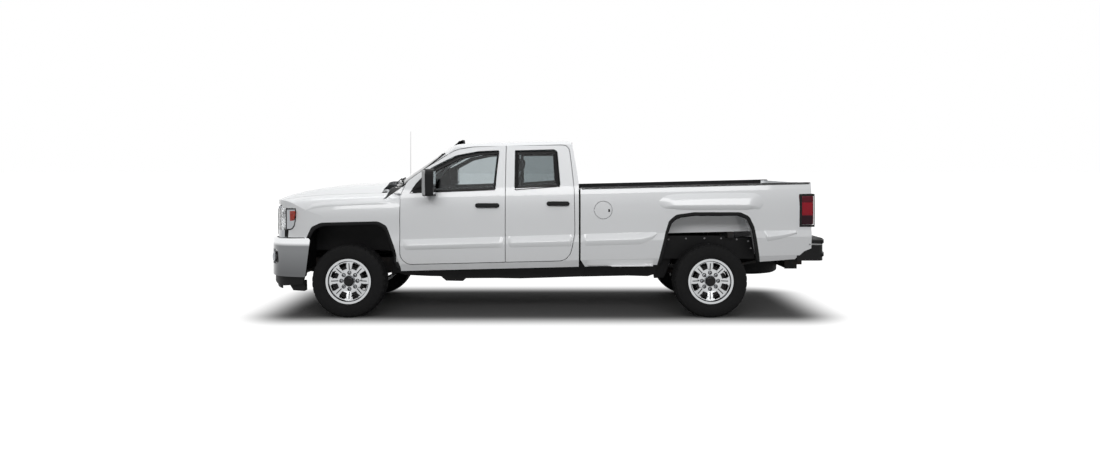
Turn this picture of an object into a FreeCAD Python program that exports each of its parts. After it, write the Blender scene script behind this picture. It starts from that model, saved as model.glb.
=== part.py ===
"""Long-bed double-cab pickup truck, front towards -X, left side towards -Y, standing on Z = 0.

The origin is on the ground, under the middle of the overall length. Body lines climb towards
the rear: every body height is given above the ground at the front axle, and rise() adds the climb.
"""
import FreeCAD
import Part
import Sketcher
import math
import os
import re
from FreeCAD import Vector

SIZES = {
    # Overall
    "wheelbase": 4016, "front_overhang": 1000, "rear_overhang": 1319, "body_width": 2020,
    "cab_setback": 578, "cab_length": 1975, "bed_gap": 20, "bed_overhang": 1108,
    # Heights above the ground at the front axle
    "rocker_height": 509, "sill_height": 586, "ledge_low_height": 790, "ledge_high_height": 868,
    "belt_height": 1361, "belt_climb": 48, "rail_height": 1377, "roof_rail_height": 1876,
    "roof_height": 1943, "floor_height": 640, "bed_floor_height": 868, "bed_hem_height": 572,
    # Panels and gaps
    "panel_gap": 8, "door_thickness": 110, "flange_thickness": 28, "flange_inset": 22,
    "lip_depth": 78, "lip_reach": 14, "roof_thickness": 45, "floor_thickness": 30,
    "wall_thickness": 40, "glass_thickness": 5, "glass_depth": 14, "fit_gap": 0.3,
    "window_radius": 35, "door_radius": 90, "overrun": 50,
    # Door hinges
    "hinge_setback": 50, "hinge_pin_radius": 4.5, "hinge_skin": 5.5, "hinge_depth": 16,
    "hinge_arm_height": 30, "hinge_notch_height": 54, "hinge_pin_length": 90,
    "hinge_arm_width": 11, "hinge_arm_depth": 92, "hinge_notch_length": 92,
    "lower_hinge_height": 785, "upper_hinge_height": 1060,
    # Wheels
    "tyre_diameter": 820, "tyre_width": 265, "tread_width": 196, "bead_diameter": 462,
    "rim_width": 214, "rim_flange_diameter": 500, "rim_wall": 9, "track_width": 1740,
    "disc_thickness": 8, "hub_face_diameter": 216, "centre_bore_diameter": 124,
    "window_ring_diameter": 348, "window_count": 8, "lug_circle_diameter": 180,
    "lug_hole_radius": 8, "hub_diameter": 123.1, "disc_offset": 44,
    # Chassis
    "rail_spacing": 800, "rail_width_size": 76, "rail_depth_size": 170, "rail_wall": 5,
    "rail_under_height": 445, "kingpin_inset": 80, "tube_diameter": 100,
}

document = FreeCAD.newDocument("pickup")
sheet = document.addObject("Spreadsheet::Sheet", "Sizes")
for row, (alias, value) in enumerate(SIZES.items(), 1):
    sheet.set(f"A{row}", alias.replace("_", " "))
    sheet.set(f"B{row}", str(value))
    sheet.setAlias(f"B{row}", alias)
document.recompute()


class Size:
    """The driving dimensions, read back from the sheet."""


size = Size()
for alias in SIZES:
    setattr(size, alias, float(sheet.get(alias)))

# Derived places
half_width = size.body_width / 2
overall_length = size.front_overhang + size.wheelbase + size.rear_overhang
front_axle_x = size.front_overhang - overall_length / 2
rear_axle_x = front_axle_x + size.wheelbase
axle_height = size.tyre_diameter / 2
tyre_radius = size.tyre_diameter / 2
rake_share = 0.0235
cab_front_x = front_axle_x + size.cab_setback
cab_rear_x = cab_front_x + size.cab_length
bed_front_x = cab_rear_x + size.bed_gap
bed_rear_x = rear_axle_x + size.bed_overhang
bed_length = bed_rear_x - bed_front_x
nose_x = front_axle_x - size.front_overhang
tail_x = rear_axle_x + size.rear_overhang
LEFT, RIGHT = -1, 1


def rise(x):
    """How far the body lines have climbed at x."""
    return rake_share * (x - front_axle_x)


def share_between(low, high, share):
    return low + (high - low) * share


def belt_at(x):
    """Height of the window sill line at x, before the climb."""
    return size.belt_height + size.belt_climb * (x - cab_front_x) / size.cab_length


# Outlines: lists of (a, b) or (a, b, corner radius)
def corners(points):
    return [(p[0], p[1], p[2] if len(p) > 2 else 0) for p in points]


def grown(points, distance):
    """The outline moved outwards by distance, corner radii kept concentric. Points run either way round."""
    points = corners(points)
    count = len(points)
    area = sum(points[i][0] * points[(i + 1) % count][1] - points[(i + 1) % count][0] * points[i][1]
               for i in range(count))
    side = distance if area > 0 else -distance
    lines = []
    for i in range(count):
        (ax, ay, _), (bx, by, _) = points[i], points[(i + 1) % count]
        length = math.hypot(bx - ax, by - ay)
        nx, ny = (by - ay) / length, (ax - bx) / length
        lines.append((ax + nx * side, ay + ny * side, (bx - ax) / length, (by - ay) / length))
    moved = []
    for i in range(count):
        px, py, pu, pv = lines[i - 1]
        qx, qy, qu, qv = lines[i]
        cross = pu * qv - pv * qu
        if abs(cross) < 1e-9:
            x, y = qx, qy
        else:
            along = ((qx - px) * qv - (qy - py) * qu) / cross
            x, y = px + pu * along, py + pv * along
        radius = points[i][2]
        convex = cross * (1 if area > 0 else -1) > 0
        if radius:
            radius = max(radius + (distance if convex else -distance), size.fit_gap)
        moved.append((x, y, radius))
    return moved


def wire(points, place):
    """A closed wire through the outline's corners, rounded by their radii; place turns (a, b) into a Vector."""
    points = corners(points)
    count = len(points)
    starts, ends, arcs = [], [], []
    for i in range(count):
        x, y, radius = points[i]
        ax, ay, _ = points[i - 1]
        bx, by, _ = points[(i + 1) % count]
        la, lb = math.hypot(ax - x, ay - y), math.hypot(bx - x, by - y)
        ux, uy, wx, wy = (ax - x) / la, (ay - y) / la, (bx - x) / lb, (by - y) / lb
        cosine = max(-1.0, min(1.0, ux * wx + uy * wy))
        half_angle = math.acos(cosine) / 2
        if radius <= 0 or half_angle > 1.56:
            starts.append((x, y))
            ends.append((x, y))
            arcs.append(None)
            continue
        cut = min(radius / math.tan(half_angle), 0.48 * la, 0.48 * lb)
        radius = cut * math.tan(half_angle)
        bx_, by_ = ux + wx, uy + wy
        length = math.hypot(bx_, by_)
        reach = radius / math.sin(half_angle) - radius
        starts.append((x + ux * cut, y + uy * cut))
        ends.append((x + wx * cut, y + wy * cut))
        arcs.append((x + bx_ / length * reach, y + by_ / length * reach))
    edges = []
    for i in range(count):
        if arcs[i]:
            edges.append(Part.Arc(place(*starts[i]), place(*arcs[i]), place(*ends[i])).toShape())
        nxt = (i + 1) % count
        if math.dist(ends[i], starts[nxt]) > 1e-6:
            edges.append(Part.makeLine(place(*ends[i]), place(*starts[nxt])))
    return Part.Wire(edges)


def side_prism(points, y_low, y_high):
    """A side-view outline (x, z) pushed from y_low to y_high."""
    return Part.Face(wire(points, lambda a, b: Vector(a, y_low, b))).extrude(Vector(0, y_high - y_low, 0))


def plan_prism(points, z_low, z_high):
    """A plan outline (x, y) raised from z_low to z_high."""
    return Part.Face(wire(points, lambda a, b: Vector(a, b, z_low))).extrude(Vector(0, 0, z_high - z_low))


def section_prism(points, x_low, x_high, climbs=True):
    """A cross section (y, z) run from x_low to x_high, climbing with the body lines."""
    lift = rise(x_low) if climbs else 0
    face = Part.Face(wire(points, lambda a, b: Vector(x_low, a, b + lift)))
    return face.extrude(Vector(x_high - x_low, 0, rake_share * (x_high - x_low) if climbs else 0))


def block(x_low, x_high, y_low, y_high, z_low, z_high):
    return Part.makeBox(x_high - x_low, y_high - y_low, z_high - z_low, Vector(x_low, y_low, z_low))


def mirrored(shape):
    """The same shape on the other side of the truck."""
    return shape.mirror(Vector(0, 0, 0), Vector(0, 1, 0))


def both_sides(shape):
    return Part.Compound([shape, mirrored(shape)])


def raised(points):
    """Side-view points with the climb of the body lines added to their heights."""
    return [(p[0], p[1] + rise(p[0])) + tuple(p[2:]) for p in points]


named = []


def add(label, shape):
    """A sub-part whose shape is made with Part's own functions."""
    item = document.addObject("Part::Feature", label)
    item.Label = label
    item.Shape = shape
    named.append(label)
    return item


# Expressions in which the sheet's names stand for themselves
def bound(text):
    return re.sub(r"\b(" + "|".join(SIZES) + r")\b", r"Sizes.\1", text)


def bind(item, **expressions):
    for name, text in expressions.items():
        item.setExpression(name.replace("__", "."), bound(text))
    return item


# The body's cross section, right-hand side: half width against height
def side_points(inset):
    """Sharp and smooth stretches of the body side from the rocker up, moved inwards by inset."""
    waist = size.belt_height + size.belt_climb
    rise_to_belt = waist - size.ledge_high_height
    to_roof = size.roof_rail_height - waist
    lower = [(half_width * 0.905, size.rocker_height), (half_width * 0.972, size.sill_height),
             (half_width, size.ledge_low_height), (half_width * 0.987, size.ledge_high_height)]
    bulge = [(half_width * 0.987, size.ledge_high_height),
             (half_width * 0.993, size.ledge_high_height + rise_to_belt * 0.35),
             (half_width * 0.987, size.ledge_high_height + rise_to_belt * 0.7),
             (half_width * 0.957, waist)]
    glasshouse = [(half_width * 0.957, waist), (half_width * 0.895, waist + to_roof * 0.4),
                  (half_width * 0.78, size.roof_rail_height)]
    return [[(y - inset, z) for y, z in part] for part in (lower, bulge, glasshouse)]


def curve(points, place):
    spline = Part.BSplineCurve()
    spline.interpolate([place(*p) for p in points])
    return spline.toShape()


def cab_section(inset, roof_inset, floor):
    """The cab's whole cross section as a face at the cab's front, walls moved in by inset."""
    x = cab_front_x

    def right(y, z):
        return Vector(x, y, z + rise(x))

    def left(y, z):
        return Vector(x, -y, z + rise(x))

    lower, bulge, glasshouse = side_points(inset)
    lower = [p for p in lower if p[1] > floor]
    foot = (share_between(lower[0][0], half_width * 0.905 - inset, 0.5), floor)
    top = size.roof_height - roof_inset
    shoulder = (glasshouse[-1][0] - half_width * 0.075, top - size.roof_thickness * 0.75)
    edges = []
    for place in (right, left):
        chain = [foot] + lower
        edges += [Part.makeLine(place(*a), place(*b)) for a, b in zip(chain, chain[1:])]
        edges.append(curve(bulge, place))
        edges.append(curve(glasshouse, place))
        edges.append(Part.makeLine(place(*glasshouse[-1]), place(*shoulder)))
    crown = [(shoulder[0], shoulder[1]), (shoulder[0] * 0.55, top - size.roof_thickness * 0.18), (0, top)]
    across = [right(y, z) for y, z in crown] + [left(y, z) for y, z in reversed(crown[:-1])]
    spline = Part.BSplineCurve()
    spline.interpolate(across)
    edges.append(spline.toShape())
    edges.append(Part.makeLine(right(*foot), left(*foot)))
    return Part.Face(Part.Wire(Part.__sortEdges__(edges)))


def cab_block(inset, roof_inset, floor, x_low, x_high):
    face = cab_section(inset, roof_inset, floor)
    face.translate(Vector(x_low - cab_front_x, 0, rise(x_low) - rise(cab_front_x)))
    return face.extrude(Vector(x_high - x_low, 0, rake_share * (x_high - x_low)))


# The cab
def cabin(u, v, radius=0):
    """A side-view point: u along the cab, v from sill (0) to belt (1) to roof rail (2)."""
    x = cab_front_x + size.cab_length * u
    if v <= 1:
        z = share_between(size.sill_height, belt_at(x), v)
    else:
        z = share_between(belt_at(x), size.roof_rail_height, v - 1)
    return (x, z + rise(x), radius)


pillar_x = cab_front_x - size.wall_thickness * 1.5
cowl_setback = size.cab_length * 0.145
cowl_x = cab_front_x - cowl_setback
cowl_height = size.belt_height + size.belt_climb * 0.4
screen_slope_share = 1.453
screen_edge_x = cab_front_x - size.cab_length * 0.06
screen_height = cowl_height + size.belt_climb


def cab_silhouette():
    """The cab seen from the side, its nose left square for the windscreen to cut."""
    x = cab_rear_x
    far = cowl_x - size.overrun
    return raised([
        (pillar_x, size.rocker_height), (x, size.rocker_height), (x, belt_at(x) + size.belt_climb),
        (x - size.cab_length * 0.038, size.roof_height - size.roof_thickness * 0.4, size.roof_thickness * 1.6),
        (x - size.cab_length * 0.28, size.roof_height + size.fit_gap),
        (x - size.cab_length * 0.5, size.roof_height - size.roof_thickness * 0.05, size.cab_length * 0.2),
        (x - size.cab_length * 0.68, size.roof_height - size.roof_thickness * 0.75, size.cab_length * 0.1),
        (x - size.cab_length * 0.79, size.roof_height - size.roof_thickness * 1.5, size.cab_length * 0.08),
        (far, size.roof_height - size.roof_thickness * 3),
        (far, cowl_height - size.belt_climb * 3), (pillar_x, cowl_height - size.belt_climb * 3),
    ])


def behind_screen(setback):
    """Everything behind the curved, sloping windscreen surface, moved back by setback."""
    low, high = size.rocker_height - size.overrun, size.roof_height + size.overrun * 3
    x0 = screen_edge_x + setback - (screen_height - low) * screen_slope_share
    bow = size.cab_length * 0.068
    reach = half_width * 0.75
    front = Part.Arc(Vector(x0, -reach, low), Vector(x0 - bow, 0, low), Vector(x0, reach, low)).toShape()
    flare = reach + half_width * 0.5
    bend = x0 + half_width * 0.3
    far = x0 + size.cab_length * 3
    path = [Vector(x0, reach, low), Vector(bend, flare, low), Vector(far, flare, low),
            Vector(far, -flare, low), Vector(bend, -flare, low), Vector(x0, -reach, low)]
    edges = [front] + [Part.makeLine(a, b) for a, b in zip(path, path[1:])]
    rise_vector = Vector((high - low) * screen_slope_share, 0, high - low)
    return Part.Face(Part.Wire(edges)).extrude(rise_vector)


def band(inset, x_low, x_high):
    """The body side between its skin and a surface inset behind it, on both sides."""
    roof = size.roof_height
    outer = cab_block(0, 0, size.rocker_height, x_low, x_high)
    inner = cab_block(inset, 0, size.rocker_height - size.overrun, x_low - size.overrun, x_high + size.overrun)
    high = plan_prism([(x_low - 2 * size.overrun, -half_width * 2), (x_high + 2 * size.overrun, -half_width * 2),
                       (x_high + 2 * size.overrun, half_width * 2), (x_low - 2 * size.overrun, half_width * 2)],
                      0, roof * 2)
    under_rail = high.common(under(size.roof_rail_height))
    return outer.common(under_rail).cut(inner)


def under(height):
    """Everything below a body height."""
    far = overall_length
    return side_prism(raised([(-far, height), (far, height)]) + [(far, -far), (-far, -far)],
                      -half_width * 2, half_width * 2)


def over(height):
    far = overall_length
    return side_prism(raised([(-far, height), (far, height)]) + [(far, far), (-far, far)],
                      -half_width * 2, half_width * 2)


centre_pillar_share = 0.586
door_front_outline = [
    cabin(0, 0, size.door_radius * 1.4), cabin(centre_pillar_share, 0, size.panel_gap),
    cabin(centre_pillar_share, 2, size.panel_gap), cabin(0.4, 1.985, size.door_radius * 3),
    cabin(0.3, 1.93, size.door_radius * 3), cabin(0.125, 1.52, size.door_radius * 2),
    cabin(0.032, 1.26, size.door_radius * 1.5), cabin(0, 0.97, size.door_radius * 2),
]
rear_start_share = centre_pillar_share + size.panel_gap / size.cab_length
door_rear_outline = [
    cabin(rear_start_share, 0, size.panel_gap), cabin(0.945, 0, size.door_radius * 1.6),
    cabin(0.976, 0.36, size.door_radius * 3), cabin(0.9725, 0.95, size.door_radius * 3),
    cabin(0.9585, 1.5, size.door_radius * 3), cabin(0.945, 1.98, size.door_radius * 0.9),
    cabin(rear_start_share, 2, size.panel_gap),
]
window_front_outline = [
    cabin(0.046, 1.01, size.window_radius), cabin(0.5335, 1.01, size.window_radius * 0.3),
    cabin(0.5475, 1.9, size.window_radius * 0.3), cabin(0.43, 1.893, size.window_radius * 8),
    cabin(0.3, 1.81, size.window_radius * 8), cabin(0.164, 1.55, size.window_radius * 4),
    cabin(0.084, 1.22, size.window_radius * 2),
]
window_rear_outline = [
    cabin(0.638, 1.01, size.window_radius * 0.4), cabin(0.898, 1.01, size.window_radius * 0.6),
    cabin(0.881, 1.89, size.window_radius * 1.6), cabin(0.638, 1.89, size.window_radius * 0.3),
]

far_out = half_width + size.overrun
right_half = block(-overall_length, overall_length, 0, half_width * 2, -size.overrun, size.roof_height * 2)
left_half = block(-overall_length, overall_length, -half_width * 2, 0, -size.overrun, size.roof_height * 2)
cab_span = (pillar_x, cab_rear_x)
wide_span = (cowl_x - size.overrun, cab_rear_x)
full_band = band(size.door_thickness, *wide_span)
flange_band = band(size.flange_thickness, *wide_span)
lip_band = band(size.lip_depth, *wide_span)
door_radius_inner = size.door_radius


def everywhere(outline):
    """A side-view outline pushed right across the truck."""
    return side_prism(outline, -far_out, far_out)


def cab_pieces():
    silhouette = everywhere(cab_silhouette())
    outer = cab_block(0, 0, size.rocker_height, *wide_span).common(silhouette).common(behind_screen(0))
    inner_outline = grown(cab_silhouette(), -size.wall_thickness)
    cavity = cab_block(size.door_thickness, size.roof_thickness, size.floor_height, *wide_span)
    cavity = cavity.common(everywhere(inner_outline)).common(behind_screen(size.wall_thickness * 1.5))
    fender_zone = lip_band.common(block(cowl_x - size.overrun, cab_front_x, -far_out, far_out, 0,
                                        belt_at(cab_front_x) + size.belt_climb * 0.5))
    core = cab_block(size.door_thickness, 0, size.rocker_height - size.overrun,
                     wide_span[0] - size.overrun, wide_span[1] + size.overrun)
    below = outer.common(under(size.roof_rail_height))
    apertures = None
    for outline in (door_front_outline, door_rear_outline):
        hole = lip_band.common(everywhere(grown(outline, size.panel_gap)))
        inner_hole = everywhere(grown(outline, -size.lip_reach))
        apertures = hole.fuse(inner_hole) if apertures is None else apertures.fuse([hole, inner_hole])
    sides = below.cut(core).cut(apertures).cut(fender_zone)
    hollow = under(size.floor_height - size.floor_thickness)
    middle = below.common(core).cut([cavity, hollow] + door_swings())
    roof = outer.common(over(size.roof_rail_height)).cut(cavity)
    return sides, middle, roof


screen_frame = half_width * 0.062


def screen_opening(inset, front, back):
    """The windscreen's place between the pillars, from front to back setback behind its surface."""
    sides = cab_block(screen_frame + inset, size.roof_thickness * 2.2 + inset, size.floor_height, *wide_span)
    low = over(screen_height + inset).common(under(size.roof_height - size.roof_thickness * 3 - inset))
    return sides.common(low).common(behind_screen(front)).cut(behind_screen(back)).common(
        block(cowl_x - size.overrun * 4, cab_front_x + size.cab_length * 0.42, -far_out, far_out,
              0, size.roof_height * 2))


def rear_window_opening(inset):
    outline = grown([(-half_width * 0.62, size.belt_height + size.belt_climb * 2.2, size.window_radius * 1.5),
                     (half_width * 0.62, size.belt_height + size.belt_climb * 2.2, size.window_radius * 1.5),
                     (half_width * 0.57, size.roof_rail_height - size.roof_thickness, size.window_radius * 1.5),
                     (-half_width * 0.57, size.roof_rail_height - size.roof_thickness, size.window_radius * 1.5)],
                    -inset)
    return section_prism(outline, cab_rear_x - size.cab_length * 0.12, cab_rear_x + size.overrun)


def rear_glass():
    outline = cab_silhouette()
    skin = everywhere(grown(outline, -size.glass_depth)).cut(
        everywhere(grown(outline, -size.glass_depth - size.glass_thickness)))
    return rear_window_opening(size.fit_gap).common(skin)


def one_side(shape, side):
    return shape.common(right_half if side == RIGHT else left_half)


def hinge_places(outline_x):
    """Door hinge axis in plan and the two hinge heights, right-hand side."""
    x = outline_x + size.hinge_setback
    y = half_width - size.hinge_depth
    heights = [h + rise(x) for h in (size.lower_hinge_height, size.upper_hinge_height)]
    return x, y, heights


def hinge_notches(outline_x):
    """What the hinge arms need cut out of a right-hand door, with the bores for their pins."""
    x, y, heights = hinge_places(outline_x)
    half = size.hinge_notch_height / 2
    cuts = []
    for z in heights:
        cuts.append(block(x - size.hinge_setback - size.overrun, x + size.hinge_notch_length / 2,
                          y - size.door_thickness * 1.2, y + size.hinge_skin, z - half, z + half))
        cuts.append(Part.makeCylinder(size.hinge_pin_radius + size.fit_gap, size.hinge_pin_length + 2 * size.fit_gap,
                                      Vector(x, y, z - size.hinge_pin_length / 2 - size.fit_gap)))
    return cuts


def hinge_arms(outline_x):
    """Right-hand hinge arms, each with its pin, from the pillar's lip out into the door's flange."""
    x, y, heights = hinge_places(outline_x)
    wide = size.hinge_arm_width / 2
    lip_edge = x - size.hinge_setback + size.lip_reach
    lip_face = half_width - size.lip_depth - size.hinge_depth * 0.7
    deep = half_width - size.hinge_arm_depth - size.hinge_depth
    arms = []
    for z in heights:
        arm = plan_prism([(x - wide, y), (x - wide, lip_face), (lip_edge, lip_face), (lip_edge, deep),
                          (x + wide, deep, wide), (x + wide, y)],
                         z - size.hinge_arm_height / 2, z + size.hinge_arm_height / 2)
        knuckle = Part.makeCylinder(wide, size.hinge_arm_height, Vector(x, y, z - size.hinge_arm_height / 2))
        pin = Part.makeCylinder(size.hinge_pin_radius, size.hinge_pin_length,
                                Vector(x, y, z - size.hinge_pin_length / 2))
        skin_room = block(x - size.overrun, x + size.overrun, y + size.hinge_skin - size.fit_gap * 3,
                          y + size.overrun, z - size.overrun, z + size.overrun)
        arms.append(arm.fuse([knuckle, pin]).cut(skin_room))
    return arms


def door_swings():
    """The room that the front inner edge of each opening door sweeps just inside its own thickness."""
    room = band(size.door_thickness + size.hinge_skin * 1.8, *wide_span)
    spans = [block(start + size.flange_inset - size.hinge_skin * 2, start + size.hinge_setback * 2.2, -far_out, far_out,
                   size.sill_height - size.panel_gap, size.roof_rail_height - size.roof_thickness)
             for start in (cab_front_x, door_rear_x)]
    return [room.common(span) for span in spans]


def door(outline, window, side, notches):
    """One door: outer flange, thick inner body set in from its edge, and the window cut through both."""
    flange = flange_band.common(everywhere(outline))
    body = full_band.common(everywhere(grown(outline, -size.flange_inset)))
    leaf = one_side(flange, side).fuse(one_side(body, side)).removeSplitter()
    cuts = notches if side == RIGHT else [mirrored(c) for c in notches]
    return leaf.cut([everywhere(window)] + cuts)


def pane(window, side):
    skin = band(size.glass_depth + size.glass_thickness, *wide_span).cut(band(size.glass_depth, *wide_span))
    return one_side(skin.common(everywhere(grown(window, -size.fit_gap))), side)


door_rear_x = cab_front_x + size.cab_length * rear_start_share
cab_sides, cab_middle, cab_roof = cab_pieces()
opening = screen_opening(0, -size.overrun, size.wall_thickness * 3)
back_opening = rear_window_opening(0)
add("cab_sides", cab_sides.cut(opening))
cab_floor = add("cab_floor", cab_middle.cut([opening, back_opening]))
add("cab_roof", cab_roof.cut([opening, back_opening]))
add("windscreen", screen_opening(size.fit_gap * 2, size.glass_depth, size.glass_depth + size.glass_thickness * 2))
add("rear_window", rear_glass())

arms = []
for start in (cab_front_x, door_rear_x):
    for arm in hinge_arms(start):
        arms += [arm, mirrored(arm)]
add("door_hinges", Part.Compound(arms))
for side, name in ((LEFT, "left"), (RIGHT, "right")):
    add(f"door_front_{name}", door(door_front_outline, window_front_outline, side, hinge_notches(cab_front_x)))
    add(f"door_rear_{name}", door(door_rear_outline, window_rear_outline, side, hinge_notches(door_rear_x)))
    add(f"window_front_{name}", pane(window_front_outline, side))
    add(f"window_rear_{name}", pane(window_rear_outline, side))


# The front end, its outlines measured in tyre radii from the wheel centre
radius = tyre_radius


def at_axle(axle_x, points):
    """Side-view points given as shares of the tyre radius from a wheel centre, heights from the ground."""
    return [(axle_x + radius * u, radius * v + rise(axle_x + radius * u)) + tuple(r * radius for r in rest)
            for u, v, *rest in points]


section_shares = [(0.93, 1.07), (0.968, 1.34), (0.99, 1.7), (0.998, 2.02), (0.989, 2.19), (0.993, 2.63)]
station_shares = [
    # along, shoulder height, crease height, crown height
    (-2.34, 3.08, 3.12, 3.17), (-2.2, 3.14, 3.185, 3.235), (-2.05, 3.185, 3.235, 3.295), (-1.83, 3.24, 3.31, 3.36),
    (-1.6, 3.275, 3.36, 3.41), (-1.3, 3.305, 3.41, 3.47), (-1.0, 3.325, 3.445, 3.52), (-0.5, 3.345, 3.462, 3.575),
    (0.0, 3.352, 3.47, 3.595), (0.5, 3.357, 3.475, 3.603), (1.0, 3.36, 3.48, 3.61), (1.42, 3.362, 3.485, 3.615),
]


def front_mass(inset):
    """The bonnet and wings as one smooth body, its skin moved in by inset."""
    shrink = 1 - inset / half_width
    wires = []
    for along, shoulder, crease, crown in station_shares:
        x = front_axle_x + radius * along
        side = [(y * half_width, v * radius + rise(x)) for y, v in section_shares]
        side += [(0.975 * half_width, (shoulder - 0.28) * radius + rise(x)),
                 (0.93 * half_width, (shoulder - 0.09) * radius + rise(x)),
                 (0.845 * half_width, shoulder * radius + rise(x)),
                 (0.743 * half_width, crease * radius + rise(x)),
                 (0.445 * half_width, crown * radius + rise(x))]
        right = [Vector(x, y * shrink, z - inset) for y, z in side]
        left = [Vector(p.x, -p.y, p.z) for p in right]
        top = Vector(x, 0, (crown + 0.03) * radius + rise(x) - inset)
        curve_edge = Part.BSplineCurve()
        curve_edge.interpolate(right + [top] + left[::-1])
        wires.append(Part.Wire([curve_edge.toShape(), Part.makeLine(left[0], right[0])]))
    return Part.makeLoft(wires, True, False)


def nose_plan(inset):
    """The plan outline of the bumper-to-bonnet front, moved in by inset."""
    half = [(0.0, -2.28), (0.4, -2.256), (0.7, -2.1), (0.85, -1.88), (0.95, -1.51), (0.985, -1.1), (1.0, -0.4)]
    right = [Vector(front_axle_x + radius * along + inset * (1 - y * 0.75), half_width * y - inset * y, 0)
             for y, along in half]
    left = [Vector(p.x, -p.y, 0) for p in right[1:]][::-1]
    front = Part.BSplineCurve()
    front.interpolate(left + right)
    back_x = cab_rear_x
    a, b = right[-1], left[0]
    corners_back = [a, Vector(back_x, a.y, 0), Vector(back_x, b.y, 0), b]
    lines = [Part.makeLine(p, q) for p, q in zip(corners_back, corners_back[1:])]
    return Part.Face(Part.Wire([front.toShape()] + lines)).extrude(Vector(0, 0, size.roof_height))


def ring_to_nose(thick, outline):
    """A shell of given thickness behind the nose surface, kept where the side outline is."""
    shape = nose_plan(0).cut(nose_plan(thick))
    return shape.common(side_prism(outline, -far_out, far_out))


arch_front = at_axle(front_axle_x, [
    (-1.17, 1.2, 0.2), (-1.13, 2.2, 0.12), (-0.99, 2.5, 0.16), (-0.73, 2.61, 0.3), (0.82, 2.61, 0.3),
    (1.04, 2.48, 0.16), (1.24, 1.95, 0.2), (1.45, 1.2, 0.1), (1.45, 0.5), (-1.17, 0.5)])
wing_outline = at_axle(front_axle_x, [
    (-1.2, 2.22), (-2.0, 2.22), (-2.0, 2.9), (-2.2, 3.3), (-2.2, 3.9), (1.9, 3.9), (1.9, 1.26), (1.2, 1.26)])
hood_front_share = -2.13
wing_gap_share = 0.845

shell = front_mass(0)
shell_inner = front_mass(size.lip_depth * 0.9)
hood_inner = front_mass(size.flange_thickness * 1.6)
plan_nose = nose_plan(0)
arch_cut = everywhere(arch_front)
hood_side_y = half_width * wing_gap_share
middle_strip = block(nose_x - size.overrun, cab_front_x + size.overrun * 10, -hood_side_y, hood_side_y,
                     0, size.roof_height)
lamp_outline = at_axle(front_axle_x, [
    (-2.4, 3.0, 0.03), (-1.52, 3.02, 0.04), (-1.44, 2.95, 0.04), (-1.47, 2.62, 0.1), (-1.66, 2.42, 0.1),
    (-2.4, 2.4, 0.03)])
lamp_edge_y = half_width * 0.66
lamp_room = side_prism(grown(lamp_outline, size.fit_gap), lamp_edge_y - size.fit_gap, far_out)
hood_room_front_x = front_axle_x + radius * hood_front_share
door_zone = everywhere(grown(door_front_outline, size.panel_gap))
wing_shell = shell.cut(shell_inner).common(plan_nose).common(everywhere(wing_outline))
wing_shell = wing_shell.cut([arch_cut, door_zone, middle_strip, lamp_room, mirrored(lamp_room)])
wing_shell = wing_shell.cut(behind_screen(-size.overrun).common(over(size.belt_height - size.overrun)))
add("front_fenders", wing_shell)

hood_strip = block(hood_room_front_x, cab_front_x, -hood_side_y + size.panel_gap, hood_side_y - size.panel_gap,
                   radius * 2.5, size.roof_height)
hood = shell.common(hood_strip).common(plan_nose).cut(hood_inner).cut(behind_screen(-size.overrun * 2.2))
hood_axis_x = screen_edge_x - size.wall_thickness * 2
hood_axis_z = screen_height + (hood_axis_x - screen_edge_x) / screen_slope_share + size.flange_inset * 1.8
hood_axis_y = half_width * 0.69
hood_pin_radius = size.hinge_pin_radius * 1.3


def along_y(x, z, round_radius, y_low, y_high):
    return Part.makeCylinder(round_radius, y_high - y_low, Vector(x, y_low, z), Vector(0, 1, 0))


def hood_hinge():
    """Right-hand arm fixed to the bonnet, and the stand with its pin fixed to the cowl."""
    thick = size.hinge_arm_width
    reach = size.cab_length * 0.06
    arm = side_prism([
        (hood_axis_x, hood_axis_z - thick), (hood_axis_x - reach * 0.7, hood_axis_z - thick * 2.4),
        (hood_axis_x - reach, hood_axis_z - thick * 2.4), (hood_axis_x - reach, hood_axis_z + thick),
        (hood_axis_x, hood_axis_z + thick)], hood_axis_y, hood_axis_y + thick)
    arm = arm.fuse(along_y(hood_axis_x, hood_axis_z, thick, hood_axis_y, hood_axis_y + thick))
    arm = arm.cut(along_y(hood_axis_x, hood_axis_z, hood_pin_radius + size.fit_gap, 0, half_width))
    stand = block(hood_axis_x - thick, hood_axis_x + thick, hood_axis_y - thick - size.hinge_skin, hood_axis_y - size.hinge_skin,
                  hood_axis_z - size.flange_inset * 3, hood_axis_z + thick * 0.8)
    pin = along_y(hood_axis_x, hood_axis_z, hood_pin_radius, hood_axis_y - size.hinge_skin, hood_axis_y + thick + size.hinge_skin)
    return arm, stand.fuse(pin)


hood_arm, hood_stand = hood_hinge()
hood = hood.fuse([hood_arm, mirrored(hood_arm)])
add("hood", hood)

cab_floor.Shape = cab_floor.Shape.fuse([hood_stand, mirrored(hood_stand)])

grille_outline = at_axle(front_axle_x, [
    (-2.4, 3.02), (-1.98, 3.06), (-1.98, 2.14), (-2.4, 2.14)])
grille = ring_to_nose(size.wall_thickness * 1.5, grille_outline).common(
    block(nose_x, cab_front_x, -lamp_edge_y + size.fit_gap, lamp_edge_y - size.fit_gap, 0, size.roof_height))
under_lamp = ring_to_nose(size.wall_thickness * 1.5, at_axle(front_axle_x, [
    (-2.4, 2.5), (-1.7, 2.5), (-1.7, 2.14), (-2.4, 2.14)]))
under_lamp = under_lamp.common(block(nose_x, cab_front_x, -hood_side_y + size.panel_gap, hood_side_y - size.panel_gap,
                                     0, size.roof_height)).cut([lamp_room, mirrored(lamp_room)])
grille = grille.fuse(under_lamp).common(shell)
add("grille", grille)
lamp = nose_plan(size.fit_gap).common(side_prism(lamp_outline, lamp_edge_y, far_out)).cut(nose_plan(radius * 0.4))
add("headlights", both_sides(lamp.common(shell)))

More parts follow.
